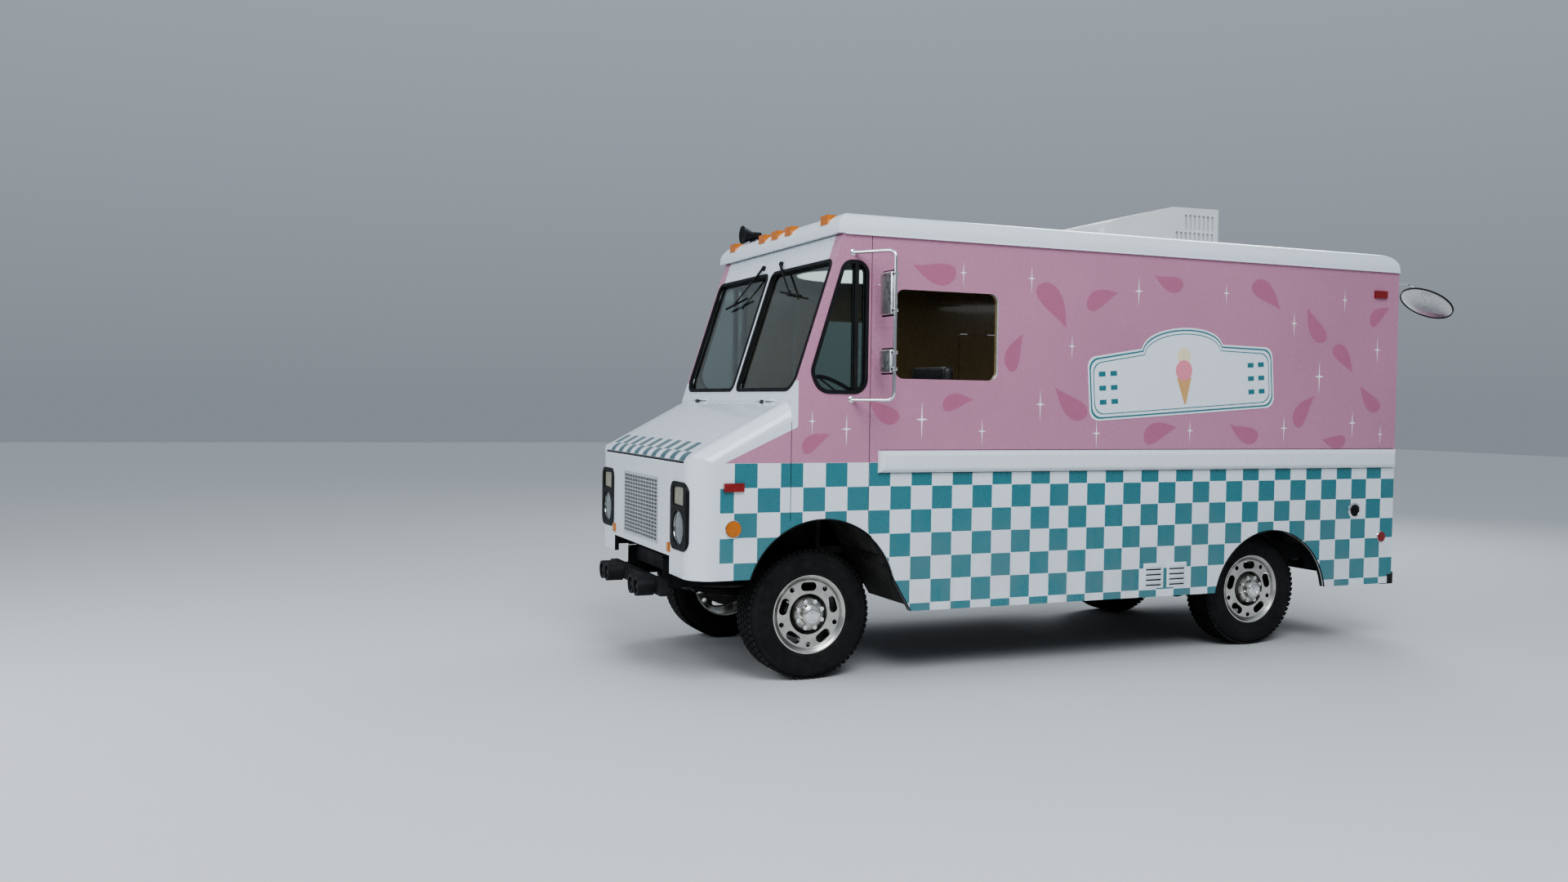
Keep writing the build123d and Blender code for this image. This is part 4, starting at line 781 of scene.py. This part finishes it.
hoop = [(0.1815, -0.0065), (0.1875, -0.0065), (0.1877, 0.004), (0.1815, 0.004)]
add_lathe(welts, hoop + hoop[:1], tail_spot, tail_axis, 64)
finished(heads, "mirror_heads", bright_steel, "mirrors")
finished(welts, "mirror_welts", black_rubber)

# %% [markdown]
# ## Headlamps
# Behind each black bezel sit a round sealed beam and, over it, an oblong turn lamp. A sealed beam is a glass
# front with moulded flutes on a silvered bowl, with a short filament capsule in the middle. Modelling the
# bowl behind a clear front is what gives the lamp its depth.

# %% Bowls, flutes and glass
lamp_seat, lamp_x, lamp_z = -2.8257, 0.7725, 0.925
flute_low, flute_high, first_flute = 1.062, 1.154, 0.69
bowl = [(0.0, 0.0012), (0.03, 0.0014), (0.06, 0.004), (0.084, 0.0095), (0.0945, 0.015), (0.096, 0.021),
        (0.099, 0.0215), (0.0995, 0.0), (0.0, 0.0)]
front = [(0.0, 0.0215), (0.05, 0.0208), (0.085, 0.0188), (0.0945, 0.0165), (0.0945, 0.015), (0.083, 0.0168),
         (0.05, 0.0186), (0.0, 0.0192)]


def add_flutes(bm, side, count, pitch, half, near, far, soft, steps):
    for step in range(count):
        x = side * (first_flute + pitch * step)
        low, high = (x - half, lamp_seat - far, flute_low), (x + half, lamp_seat - near, flute_high)
        add_box(bm, low, high, soft, steps)


bowls, fronts, markers = bmesh.new(), bmesh.new(), bmesh.new()
for side in both_sides:
    spot = Vector((side * lamp_x, lamp_seat, lamp_z))
    add_lathe(bowls, bowl, spot, forward, 56)
    add_rod(bowls, spot + 0.001 * Vector(forward), spot + 0.012 * Vector(forward), 0.011, 20, 0.008)
    low, high = (side * 0.6785, lamp_seat - 0.004, 1.0545), (side * 0.8665, lamp_seat - 0.0005, 1.1615)
    add_box(bowls, low, high, 0.002)
    add_flutes(bowls, side, 7, 0.0275, 0.01, 0.004, 0.008, 0.0035, 2)
    add_lathe(fronts, front, spot, forward, 56)
    for step in range(11):
        u = -0.07 + 0.014 * step
        reach = sqrt(0.08 ** 2 - u * u)
        add_box(fronts, (spot.x + u - 0.0016, lamp_seat - 0.0182, lamp_z - reach),
                (spot.x + u + 0.0016, lamp_seat - 0.016, lamp_z + reach), 0.0006, 1)
    low, high = (side * 0.6795, lamp_seat - 0.0175, 1.0555), (side * 0.8655, lamp_seat - 0.0145, 1.1605)
    add_box(markers, low, high, 0.0013)
    add_flutes(markers, side, 15, 0.0118, 0.003, 0.017, 0.019, 0.0008, 1)
finished(bowls, "lamp_bowls", lamp_silver)
finished(fronts, "lamp_fronts", lamp_glass, "headlamps")
finished(markers, "marker_fronts", cream_lens)

# %% [markdown]
# ## Lamp rings
# Every round lamp on the sides, the tail and the front bar is held by a bright ring. The rings are small,
# but each catches a highlight and tells the eye where one material ends.

# %% Rings round the lamps
bm = bmesh.new()
for side in both_sides:
    add_ring(bm, 0.044, 0.05, 0.008, 0.011, (side * wall_x, -2.60065, 0.933), (side, 0.0, 0.0), 40)
    add_ring(bm, 0.034, 0.039, 0.006, 0.0085, (side * wall_x, 2.36035, 0.747), (side, 0.0, 0.0), 36)
    for z in (0.83, 0.96):
        add_ring(bm, 0.052, 0.058, 0.012, 0.016, (side * 0.85, 2.47535, z), aft, 44)
    for u in (0.278, 0.396):
        cone = [(0.0185, 0.01), (0.0415, 0.002), (0.0415, 0.0), (0.0185, 0.0), (0.0185, 0.01)]
        add_lathe(bm, cone, (side * u, -2.96065, 0.543), forward, 36)
finished(bm, "lamp_rings", mirror_steel)

# %% [markdown]
# ## The radiator
# Behind the grille the radiator stands on the frame's first cross member: a finned core between two tanks,
# with a channel at each side and a sheet baffle from each channel to the nose, so that no air slips past.
# It is what the open hood shows first, and it keeps daylight from the wheel arches out of the grille.

# %% Core, tanks, channels and baffles
radiator_y, radiator_low, radiator_high = -2.7377, 0.7005, 1.205
core_half, channel_half, nose_skin = 0.33, 0.372, -2.8168
tank_half = core_half + 0.01
bm = bmesh.new()
add_box(bm, (-core_half, radiator_y - 0.02, 0.74), (core_half, radiator_y + 0.02, 1.155))
for fin in range(33):
    x = -core_half + 0.01 + 0.02 * fin
    add_box(bm, (x - 0.003, radiator_y - 0.0245, 0.744), (x + 0.003, radiator_y - 0.019, 1.152), 0.0008, 1)
for low_z, high_z in ((radiator_low, 0.748), (1.148, radiator_high)):
    add_box(bm, (-tank_half, radiator_y - 0.03, low_z), (tank_half, radiator_y + 0.03, high_z), 0.01, 3)
for side in both_sides:
    inner, outer = side * (core_half - 0.004), side * channel_half
    add_box(bm, (inner, radiator_y - 0.025, radiator_low), (outer, radiator_y + 0.025, 1.195), 0.003)
    inner = side * (channel_half - 0.0025)
    add_box(bm, (inner, nose_skin, 0.705), (outer, radiator_y - 0.023, 1.19), 0.0006, 1)
add_dome(bm, [(0.024, 0.006), (0.03, 0.008), (0.03, 0.014), (0.018, 0.018), (0.0, 0.019)],
         (0.18, radiator_y, radiator_high - 0.001), (0.0, 0.0, 1.0), 28)
finished(bm, "radiator", frame_black)

# %% [markdown]
# ## Wipers
# The wipers hang from pivots over the glass and rest across it. Each has a domed nut on its pivot, a
# tapering arm with a hinge, and a sprung holder that presses a rubber edge on the pane. They are drawn in
# the plane of the windscreen, with one direction across, one up the slope and one out of the glass.

# %% Arms and blades
seam_y, tail_y = -1.74865, 2.47535


def on_screen(across, up_slope, out):
    return Vector((across, cowl_y + up_slope * sin(slope) - out * cos(slope),
                   glass_foot + up_slope * cos(slope) + out * sin(slope)))


out_of_glass = on_screen(0, 0, 1) - on_screen(0, 0, 0)


def add_bar(bm, start, end, wide, tall, low, taper=1.0):
    start, end = Vector(start), Vector(end)
    over = (end - start).orthogonal().normalized() * wide / 2
    outline = [start + over, start - over, end - over * taper, end + over * taper]
    add_plate(bm, [on_screen(u, v, low) for u, v in outline], out_of_glass * tall)


bars = (
    # start, end, width, thickness, height over the glass, taper
    ((0.15, 0.925), (0.215, 0.872), 0.016, 0.009, 0.01, 1.0),
    ((0.215, 0.872), (0.47, 0.698), 0.013, 0.006, 0.013, 0.55),
    ((0.3, 0.72202), (0.64, 0.67136), 0.007, 0.005, 0.0095, 1.0),
    ((0.285, 0.724255), (0.655, 0.669125), 0.012, 0.0055, 0.0035, 1.0),
    ((0.28, 0.725), (0.66, 0.66838), 0.003, 0.0035, 0.0005, 1.0),
    ((0.455, 0.712), (0.485, 0.684), 0.018, 0.01, 0.008, 1.0),
)
bm = bmesh.new()
for side in both_sides:
    nut = [(0.0, 0.0005), (0.0175, 0.0005), (0.017, 0.012), (0.012, 0.02), (0.0, 0.0235)]
    add_lathe(bm, nut, on_screen(side * 0.15, 0.925, 0.0), out_of_glass, 24)
    for start, end, *sizes in bars:
        add_bar(bm, (side * start[0], start[1]), (side * end[0], end[1]), *sizes)
finished(bm, "wiper_arms", black_plastic, "wipers")

# %% [markdown]
# ## Steering wheel
# A large thin-rimmed wheel on a steep column: a ring of round section with a shallow dish to its hub, three
# flat spokes and a horn button.

# %% Rim, spokes and hub
wheel_spot = Vector((0.5, -1.67865, 1.69))
wheel_axis = Vector((0.0, sin(radians(35)), cos(radians(35))))
rim_radius, rim_half, rim_sides = 0.218, 0.0125, 14
bm = bmesh.new()
rim = [on_circle(rim_half, 2 * pi * k / rim_sides) for k in range(rim_sides + 1)]
add_lathe(bm, [(rim_radius + out, up) for zero, out, up in rim], wheel_spot, wheel_axis, 72)
hub = [(0.0, -0.039), (0.044, -0.039), (0.046, -0.01), (0.04, -0.002), (0.03, 0.0), (0.028, 0.0035),
       (0.018, 0.0055), (0.0, 0.0058)]
add_lathe(bm, hub, wheel_spot, wheel_axis, 40)
for spoke in range(3):
    turned = move_to(wheel_axis, wheel_spot) @ Matrix.Rotation(2 * pi * spoke / 3 + pi / 2, 4, "Z")
    add_box(bm, (0.038, -0.014, -0.0075), (0.214, 0.014, -0.0025), 0.002, 2, turned)
finished(bm, "steering_rim", black_plastic, "steering_wheel", "steering_wheel")

# %% [markdown]
# ## Rivets, gutters and seams
# The body is sheet metal riveted to a frame, so lines of rivets run under the roof, up each body seam and
# along the skirts, and a rolled gutter keeps rain off the sides. The seams are narrow dark lines of sealer.
# Two such lines run along the rub rail's edges, and the lower one is also painted shadow under the rail.
# The rivets are painted with the body, so they share its livery and change colour where the pattern does.

# %% Rivet rows
rail_z = 1.3085
rivet_rows = (
    # way, fixed measure, start, end, pitch, first side
    ("along", 2.618, -1.7, 2.43, 0.083, -1),
    ("up", seam_y + 0.022, 1.42, 2.58, 0.083, 1),
    ("up", seam_y - 0.022, 1.0, 2.58, 0.083, -1),
    ("up", tail_y - 0.06, 0.52, 2.58, 0.083, -1),
    ("along", 0.428, -1.38, 0.9, 0.11, -1),
)
bm = bmesh.new()
rivet_count = 0
for side in both_sides:
    for way, fixed, start, end, pitch, first_side in rivet_rows:
        if side < first_side:
            continue
        for step in range(int((end - start) / pitch) + 1):
            place = start + step * pitch
            y, z = (place, fixed) if way == "along" else (fixed, place)
            if abs(z - rail_z) < 0.085 and y > -1.72:
                continue
            shape = Matrix.Translation((side * wall_x, y, z)) @ Matrix.Diagonal((0.45, 1.0, 1.0, 1.0))
            bmesh.ops.create_uvsphere(bm, u_segments=8, v_segments=4, radius=0.0048, matrix=shape)
            rivet_count += 1
finished(bm, "body_rivets", wall_livery, angle=60.0)
print("rivets:", rivet_count)

# %% Gutters, seams and a painted shadow line
gutter = ((1.0035, 2.643), (1.01, 2.6425), (1.015, 2.6385), (1.015, 2.633), (1.012, 2.633),
          (1.0105, 2.637), (1.0035, 2.6375))
gutters, seam_and_shadow_lines = bmesh.new(), bmesh.new()
for side in both_sides:
    add_plate(gutters, [(side * x, -1.93, z) for x, z in gutter], (0.0, 4.4, 0.0))
    for y, z0, z1 in ((seam_y, 0.905, 2.632), (cowl_y, 0.975, 1.54)):
        add_box(seam_and_shadow_lines, (side * 0.9995, y - 0.0016, z0), (side * 1.0006, y + 0.0016, z1))
    rail_start = -1.68 if side > 0 else -0.64
    # Dark lines along the rub rail's top and bottom edges: sealer, and the lower one is also painted shadow
    # under the rail.
    for z in (rail_z - 0.0685, rail_z + 0.0685):
        add_box(seam_and_shadow_lines, (side * 0.9998, rail_start, z - 0.0012), (side * 1.0012, 2.46, z + 0.0012))
finished(gutters, "roof_gutters", white_paint, angle=25.0)
finished(seam_and_shadow_lines, "body_seams_and_rail_shadow", black_rubber)

# %% [markdown]
# ## Artwork on the pink
# The sides carry a cheerful pattern of slim white sparkles and soft darker drops. Each motif is cut like a
# vinyl sticker: an outline drawn flat, given a third of a millimetre of thickness and laid on the wall. A
# table gives the places, so the layout is easy to change, and no sticker crosses a door, a window or the
# hatch.

# %% Outlines of a sparkle and a drop
sparkle_white = plain_paint("sparkle_white", (0.86, 0.86, 0.87), 0.1)
drop_pink = plain_paint("drop_pink", (0.43, 0.14, 0.235), 0.2)


def sparkle_outline(y, z, tall):
    half, low, wide, waist = tall * 0.46, tall * 0.54, tall * 0.17, tall * 0.02
    knee = waist * 1.6
    return [(y, z + half), (y + waist, z + knee), (y + wide, z), (y + waist, z - knee), (y, z - low),
            (y - waist, z - knee), (y - wide, z), (y - waist, z + knee)]


def turned_to(points, y, z, angle):
    return [(y + u * cos(angle) - v * sin(angle), z + u * sin(angle) + v * cos(angle)) for u, v in points]


def drop_outline(y, z, long, angle):
    points = []
    for k in range(36):
        t = 2 * pi * k / 36
        u = long / 2 * cos(t)
        v = 0.31 * long * sin(t) * sin(t / 2) ** 1.4 + 0.16 * long * (0.5 - (u / long) ** 2 * 2)
        points.append((u, v))
    return turned_to(points, y, z, angle)


def stick(name, finish, outlines, base, thickness):
    bm = bmesh.new()
    for side, outline in outlines:
        add_plate(bm, [(side * base, y, z) for y, z in outline], (side * thickness, 0.0, 0.0))
    finished(bm, name, finish, angle=30.0)


print("points round a drop and a sparkle:", len(drop_outline(0, 0, 1, 0)), len(sparkle_outline(0, 0, 1)))

# %% Lay out the motifs
left_sparkles = (
    # y, z, height
    (-2.12, 1.545, 0.15), (-1.9, 1.5, 0.2), (-1.4, 1.56, 0.24), (-0.98, 1.49, 0.17), (-0.64, 2.44, 0.17),
    (-0.56, 1.66, 0.2), (-0.33, 2.03, 0.16), (-0.13, 1.48, 0.19), (0.18, 2.4, 0.2), (0.62, 1.5, 0.16),
    (0.9, 2.42, 0.15), (1.43, 1.52, 0.19), (1.5, 2.24, 0.18), (1.74, 1.88, 0.24), (1.96, 2.42, 0.16),
    (2.06, 1.56, 0.2), (2.28, 2.08, 0.19), (2.33, 1.48, 0.15), (-1.13, 2.45, 0.15), (-1.69, 2.35, 0.13),
)
left_drops = (
    # y, z, length, angle
    (-2.09, 1.42, 0.2, 0.5), (-1.66, 1.62, 0.24, 2.6), (-1.15, 1.66, 0.22, 0.2), (-1.33, 2.46, 0.3, 3.0),
    (-0.74, 1.98, 0.25, 1.2), (-0.48, 2.27, 0.34, -0.9), (-0.33, 1.68, 0.3, 2.5), (-0.1, 2.33, 0.26, 0.4),
    (0.42, 2.48, 0.24, 2.9), (0.38, 1.48, 0.28, 0.3), (1.08, 1.5, 0.26, 2.8), (1.25, 2.41, 0.3, -0.6),
    (1.62, 1.64, 0.27, 0.9), (1.7, 2.24, 0.28, 2.2), (1.96, 2.0, 0.26, -0.8), (2.22, 1.74, 0.25, 2.4),
    (2.3, 2.32, 0.22, 0.6), (1.89, 1.44, 0.22, 3.1),
)
right_sparkles = (
    # y, z, height
    (-1.9, 1.5, 0.2), (-1.56, 1.9, 0.2), (-1.56, 2.48, 0.15), (-0.44, 2.38, 0.19), (-0.23, 1.76, 0.2),
    (0.3, 2.44, 0.16), (0.8, 2.49, 0.15), (1.42, 2.36, 0.19), (1.52, 1.6, 0.22), (1.86, 2.02, 0.22),
    (2.06, 1.5, 0.17), (2.25, 2.38, 0.17), (2.32, 1.86, 0.2),
)
right_drops = (
    # y, z, length, angle
    (-2.06, 1.43, 0.2, 0.5), (-1.6, 1.56, 0.24, 1.3), (-1.0, 2.51, 0.26, 3.0), (-0.44, 2.02, 0.26, 0.8),
    (-0.3, 1.48, 0.26, 2.6), (-0.1, 2.48, 0.24, 0.3), (0.56, 2.4, 0.26, 2.9), (1.18, 2.48, 0.26, 0.2),
    (1.48, 2.0, 0.28, -0.8), (1.76, 1.56, 0.27, 0.9), (1.86, 2.44, 0.26, 2.6), (2.2, 2.12, 0.26, 1.9),
    (2.28, 1.6, 0.24, 2.4),
)
drops = [(1, drop_outline(*row)) for row in left_drops] + [(-1, drop_outline(*row)) for row in right_drops]
sparkles = [(1, sparkle_outline(*row)) for row in left_sparkles]
sparkles += [(-1, sparkle_outline(*row)) for row in right_sparkles]
stick("drop_stickers", drop_pink, drops, 1.0001, 0.0003)
stick("sparkle_stickers", sparkle_white, sparkles, 1.0005, 0.0003)

# %% [markdown]
# ## The sign board
# The sign on the driver's side is a white board with rounded ends, a raised middle and a teal border. It
# carries small teal blocks near its ends and a plain two-scoop cone in its middle, to say what is sold
# here.

# %% Outlines on the board
board_angle, board_y, board_z = radians(4.0), 0.56, 1.835
end_radius = 0.07


def arc(y, z, radius, start, step, count):
    angles = [radians(start + step * k) for k in range(count)]
    return [(y + radius * cos(angle), z + radius * sin(angle)) for angle in angles]


def board_outline(inset):
    half, low, high, crown = 0.75 - inset, -0.215 + inset, 0.175 - inset, 0.33 - inset
    end, foot, head, shoulder = half - end_radius, low + end_radius, high - end_radius, 0.33 - inset * 0.4
    angles = [radians(angle) for angle in range(8, 90, 10)]
    crest = [(shoulder * cos(angle), high + (crown - high) * sin(angle) ** 0.8) for angle in angles]
    points = arc(end, foot, end_radius, -90, 15, 7) + arc(end, head, end_radius, 0, 15, 7)
    points += crest + [(-y, z) for y, z in reversed(crest)]
    return points + arc(-end, head, end_radius, 90, 15, 7) + arc(-end, foot, end_radius, 180, 15, 7)


def disc(y, z, radius):
    return arc(y, z, radius, 0.0, 360 / 28, 28)


print("the board's outline has", len(board_outline(0.0)), "points")

# %% Board, border and cone
board_teal = plain_paint("board_teal", teal, 0.15)
# The board's white carries the same blue tint: painted sky light.
board_white = plain_paint("board_white", (0.74, 0.79, 0.83), 0.12)
cone_tan = plain_paint("cone_tan", (0.62, 0.36, 0.15), 0.1)
scoop_pink = plain_paint("scoop_pink", (0.78, 0.26, 0.33), 0.08)
scoop_cream = plain_paint("scoop_cream", (0.8, 0.7, 0.48), 0.08)
wafer = [(-0.06, 0.015), (0.06, 0.015), (0.006, -0.16), (-0.006, -0.16)]
blocks = [rectangle(u - 0.026, v - 0.016, u + 0.026, v + 0.016)
          for u in (-0.655, -0.565, 0.565, 0.655) for v in (-0.11, -0.02, 0.07)]
layers = (
    # name, finish, outlines, start, thickness
    ("board_edge", board_white, [board_outline(-0.012)], 1.0008, 0.002),
    ("board_border", board_teal, [board_outline(0.0)], 1.0028, 0.0008),
    ("board_face", board_white, [board_outline(0.01)], 1.0036, 0.0008),
    ("board_line", board_teal, [board_outline(0.026)], 1.0044, 0.0003),
    ("board_panel", board_white, [board_outline(0.032)], 1.0047, 0.0003),
    ("cone_wafer", cone_tan, [wafer], 1.005, 0.0006),
    ("cone_scoop_low", scoop_pink, [disc(0.0, 0.062, 0.068)], 1.0054, 0.0006),
    ("cone_scoop_high", scoop_cream, [disc(0.006, 0.155, 0.056)], 1.005, 0.0006),
    ("board_blocks", board_teal, blocks, 1.005, 0.0004),
)
for name, finish, outlines, base, thickness in layers:
    tilted = [(1, turned_to(outline, board_y, board_z, board_angle)) for outline in outlines]
    stick(name, finish, tilted, base, thickness)

# %% [markdown]
# ## Vents and the fuel inlet
# Low on the driver's side two louvred plates let air to the battery box, and near the tail a round neck
# with a black cap takes fuel. Louvres are pressed out of the sheet, each a little hood open at the bottom,
# and a thin black strip under each hood is painted shade in its opening.

# %% Louvres and their painted shade
louvre_count, louvre_pitch, plate_low = 4, 0.034, 0.466
plates, louvre_shades = bmesh.new(), bmesh.new()
for y in (0.265, 0.455):
    add_box(plates, (0.9995, y, plate_low), (1.0025, y + 0.162, 0.631), 0.0012, 2)
    for slat in range(louvre_count):
        z = 0.488 + louvre_pitch * slat
        turned = about((1.005, y, z + 0.01), radians(26), "Y")
        add_box(plates, (1.0035, y + 0.018, z), (1.0065, y + 0.144, z + 0.022), 0.0012, 2, turned)
        # A black strip under each slat: painted shade in the louvre's opening.
        z = 0.482 + louvre_pitch * slat
        add_box(louvre_shades, (1.002, y + 0.02, z), (1.003, y + 0.142, z + 0.009), 0.0003, 1)
    for across, up in ((0.008, 0.008), (0.154, 0.008), (0.008, 0.157), (0.154, 0.157)):
        rivet = [(0.0, 0.0), (0.0042, 0.0), (0.0036, 0.0014), (0.0, 0.002)]
        add_lathe(plates, rivet, (1.0025, y + across, plate_low + up), outboard, 12)
finished(plates, "vent_plates", white_paint)
finished(louvre_shades, "vent_slot_shade", black_plastic)

# %% Filler neck and cap
filler_spot = (wall_x, 2.10035, 0.94)
bm = bmesh.new()
neck = [(0.04, 0.0), (0.056, 0.0), (0.056, 0.0025), (0.048, 0.0065), (0.042, 0.0075), (0.04, 0.005)]
add_lathe(bm, neck + neck[:1], filler_spot, outboard, 44)
finished(bm, "filler_ring", mirror_steel)
bm = bmesh.new()
add_dome(bm, [(0.0385, 0.006), (0.035, 0.011), (0.02, 0.0125), (0.0, 0.013)], filler_spot, outboard, 36)
add_box(bm, (1.012, 2.074, 0.935), (1.019, 2.1265, 0.945), 0.0025)
finished(bm, "filler_cap", black_plastic)

# %% [markdown]
# ## Arch welts
# A rubber welt covers the cut edge of each wheel arch. It is a slim bead that follows the arch from the
# nose round to the skirt, and it hides the sheet's raw edge.

# %% Beads round the arches
arches = (
    # middle Y and Z, radius, first and last angle, where the bead runs on to
    (-2.03465, 0.496, 0.478, pi - 0.31, 0.884, [(-1.4568, 0.412)]),
    (1.35235, 0.327, 0.49, pi - 0.17, 0.17, []),
)
bm = bmesh.new()
for side in both_sides:
    for y, z, radius, first, last, beyond in arches:
        points = [on_circle(radius, first - (first - last) * step / 32) for step in range(33)]
        run = [(y + point.y, z + point.z) for point in points] + beyond
        add_tube(bm, [Vector((side * 1.0008, *point)) for point in run], 0.0042, 8)
finished(bm, "arch_welts", black_rubber)

# %% [markdown]
# ## Doors and step at the tail
# The two rear doors close with a lever and a pair of grab handles, and the step under them has a raised
# tread so that a boot doesn't slip. The sliding side door has only a cup let into its face, so that nothing
# stands out where it passes behind the wall. Each handle rides on its own door.

# %% Lever and grab handles
door_skin, grab_out, grab_low, grab_high = 2.4755, 2.52, 1.13, 1.4
for side, name in ((1, "left"), (-1, "right")):
    bm = bmesh.new()
    x = side * 0.055
    grab = [(x, y, z) for y, z in rectangle(door_skin, grab_low, grab_out, grab_high)]
    add_tube(bm, bent(grab, 0.02, 5), 0.008, 12)
    for z in (grab_low, grab_high):
        add_dome(bm, [(0.018, 0.003), (0.011, 0.006), (0.0, 0.0065)], (x, 2.4753, z), aft)
    if side < 0:
        add_box(bm, (-0.062, 2.4753, 0.985), (-0.02, 2.483, 1.075), 0.003)
        add_box(bm, (-0.15, 2.483, 1.02), (-0.028, 2.493, 1.042), 0.004)
        add_dome(bm, [(0.012, 0.009), (0.0, 0.01)], (-0.041, 2.483, 1.031), aft)
    finished(bm, f"rear_handle_{name}", mirror_steel, body=f"rear_door_{name}")

# %% The side door's pull cup
cup_low = Vector((-door_face - 0.001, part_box("side_door")[0][1] + 0.0505, 1.2505))
cup_high = cup_low + Vector((0.0165, 0.059, 0.149))
bm = bmesh.new()
add_box(bm, cup_low, cup_high)
cup_face = min(bm.faces, key=lambda face: face.calc_center_median().x)
bmesh.ops.inset_region(bm, faces=[cup_face], thickness=0.004)
bmesh.ops.translate(bm, verts=list(cup_face.verts), vec=(0.013, 0.0, 0.0))
bmesh.ops.bevel(bm, geom=list(bm.edges), offset=0.0009, segments=2, affect="EDGES", profile=0.5)
finished(bm, "pull_cup", bright_steel, body="side_door")

# %% The step's tread
bm = bmesh.new()
for row in range(3):
    for step in range(52):
        x, y = -0.88 + 0.0345 * step, 2.5 + 0.036 * row
        turned = about((x, y, 0.47), radians(45 if (step + row) % 2 else -45), "Z")
        add_box(bm, (x - 0.0125, y - 0.0028, 0.4695), (x + 0.0125, y + 0.0028, 0.4722), 0.0012, 1, turned)
finished(bm, "step_tread", frame_black)

# %% [markdown]
# ## The driver's seat
# The seat is two foam cushions in grained vinyl. A real cushion isn't a block: air and foam push its faces
# out while the seam round its edge holds it in. We start each cushion as a slightly small rounded block,
# let a cloth simulation blow it up a little with its travel capped, and then lay a piping cord round its
# edge.

# %% Puff the cushions
cushion_travel = 0.008


def blow_up(piece):
    remesh = piece.modifiers.new("remesh", "REMESH")
    remesh.mode = "VOXEL"
    remesh.voxel_size = 0.012
    bpy.context.view_layer.objects.active = piece
    bpy.ops.object.modifier_apply(modifier=remesh.name)
    start = [vertex.co.copy() for vertex in piece.data.vertices]
    cloth = piece.modifiers.new("cloth", "CLOTH")
    cloth.settings.use_pressure = True
    cloth.settings.uniform_pressure_force = 4.0
    cloth.settings.effector_weights.gravity = 0.0
    for frame_number in range(1, 21):
        scene.frame_set(frame_number)
    blown = piece.evaluated_get(bpy.context.evaluated_depsgraph_get())
    moved = [vertex.co.copy() for vertex in blown.data.vertices]
    piece.modifiers.remove(cloth)
    scene.frame_set(1)
    for vertex, before, after in zip(piece.data.vertices, start, moved):
        step = after - before
        if step.length > cushion_travel:
            step *= cushion_travel / step.length
        vertex.co = before + step
    bm = bmesh.new()
    bm.from_mesh(piece.data)
    axes = {"use_axis_x": True, "use_axis_y": True, "use_axis_z": True}
    for _ in range(3):
        bmesh.ops.smooth_vert(bm, verts=bm.verts, factor=0.5, **axes)
    bm.to_mesh(piece.data)
    bm.free()
    piece.data.shade_smooth()


def cushion(name, low, high):
    bm = bmesh.new()
    add_box(bm, [a + cushion_travel for a in low], [b - cushion_travel for b in high], 0.03, 4)
    piece = finished(bm, name, seat_vinyl, angle=180.0)
    blow_up(piece)
    return piece


bottom = cushion("seat_bottom", (0.262, -1.476, 1.2365), (0.738, -1.07, 1.349))
backrest = cushion("seat_backrest", (0.262, -1.096, 1.362), (0.738, -1.0045, 1.908))
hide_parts("seat_cushions")

# %% Piping
bm = bmesh.new()
bottom_edge = [(x, y, 1.293) for x, y in rectangle(0.285, -1.472, 0.715, -1.12)]
back_edge = [(x, -1.093, z) for x, z in rectangle(0.285, 1.39, 0.715, 1.88)]
add_loop(bm, bottom_edge, 0.03, 6, 0.003, 8)
add_loop(bm, back_edge, 0.035, 6, 0.003, 8)
finished(bm, "seat_piping", seat_vinyl)
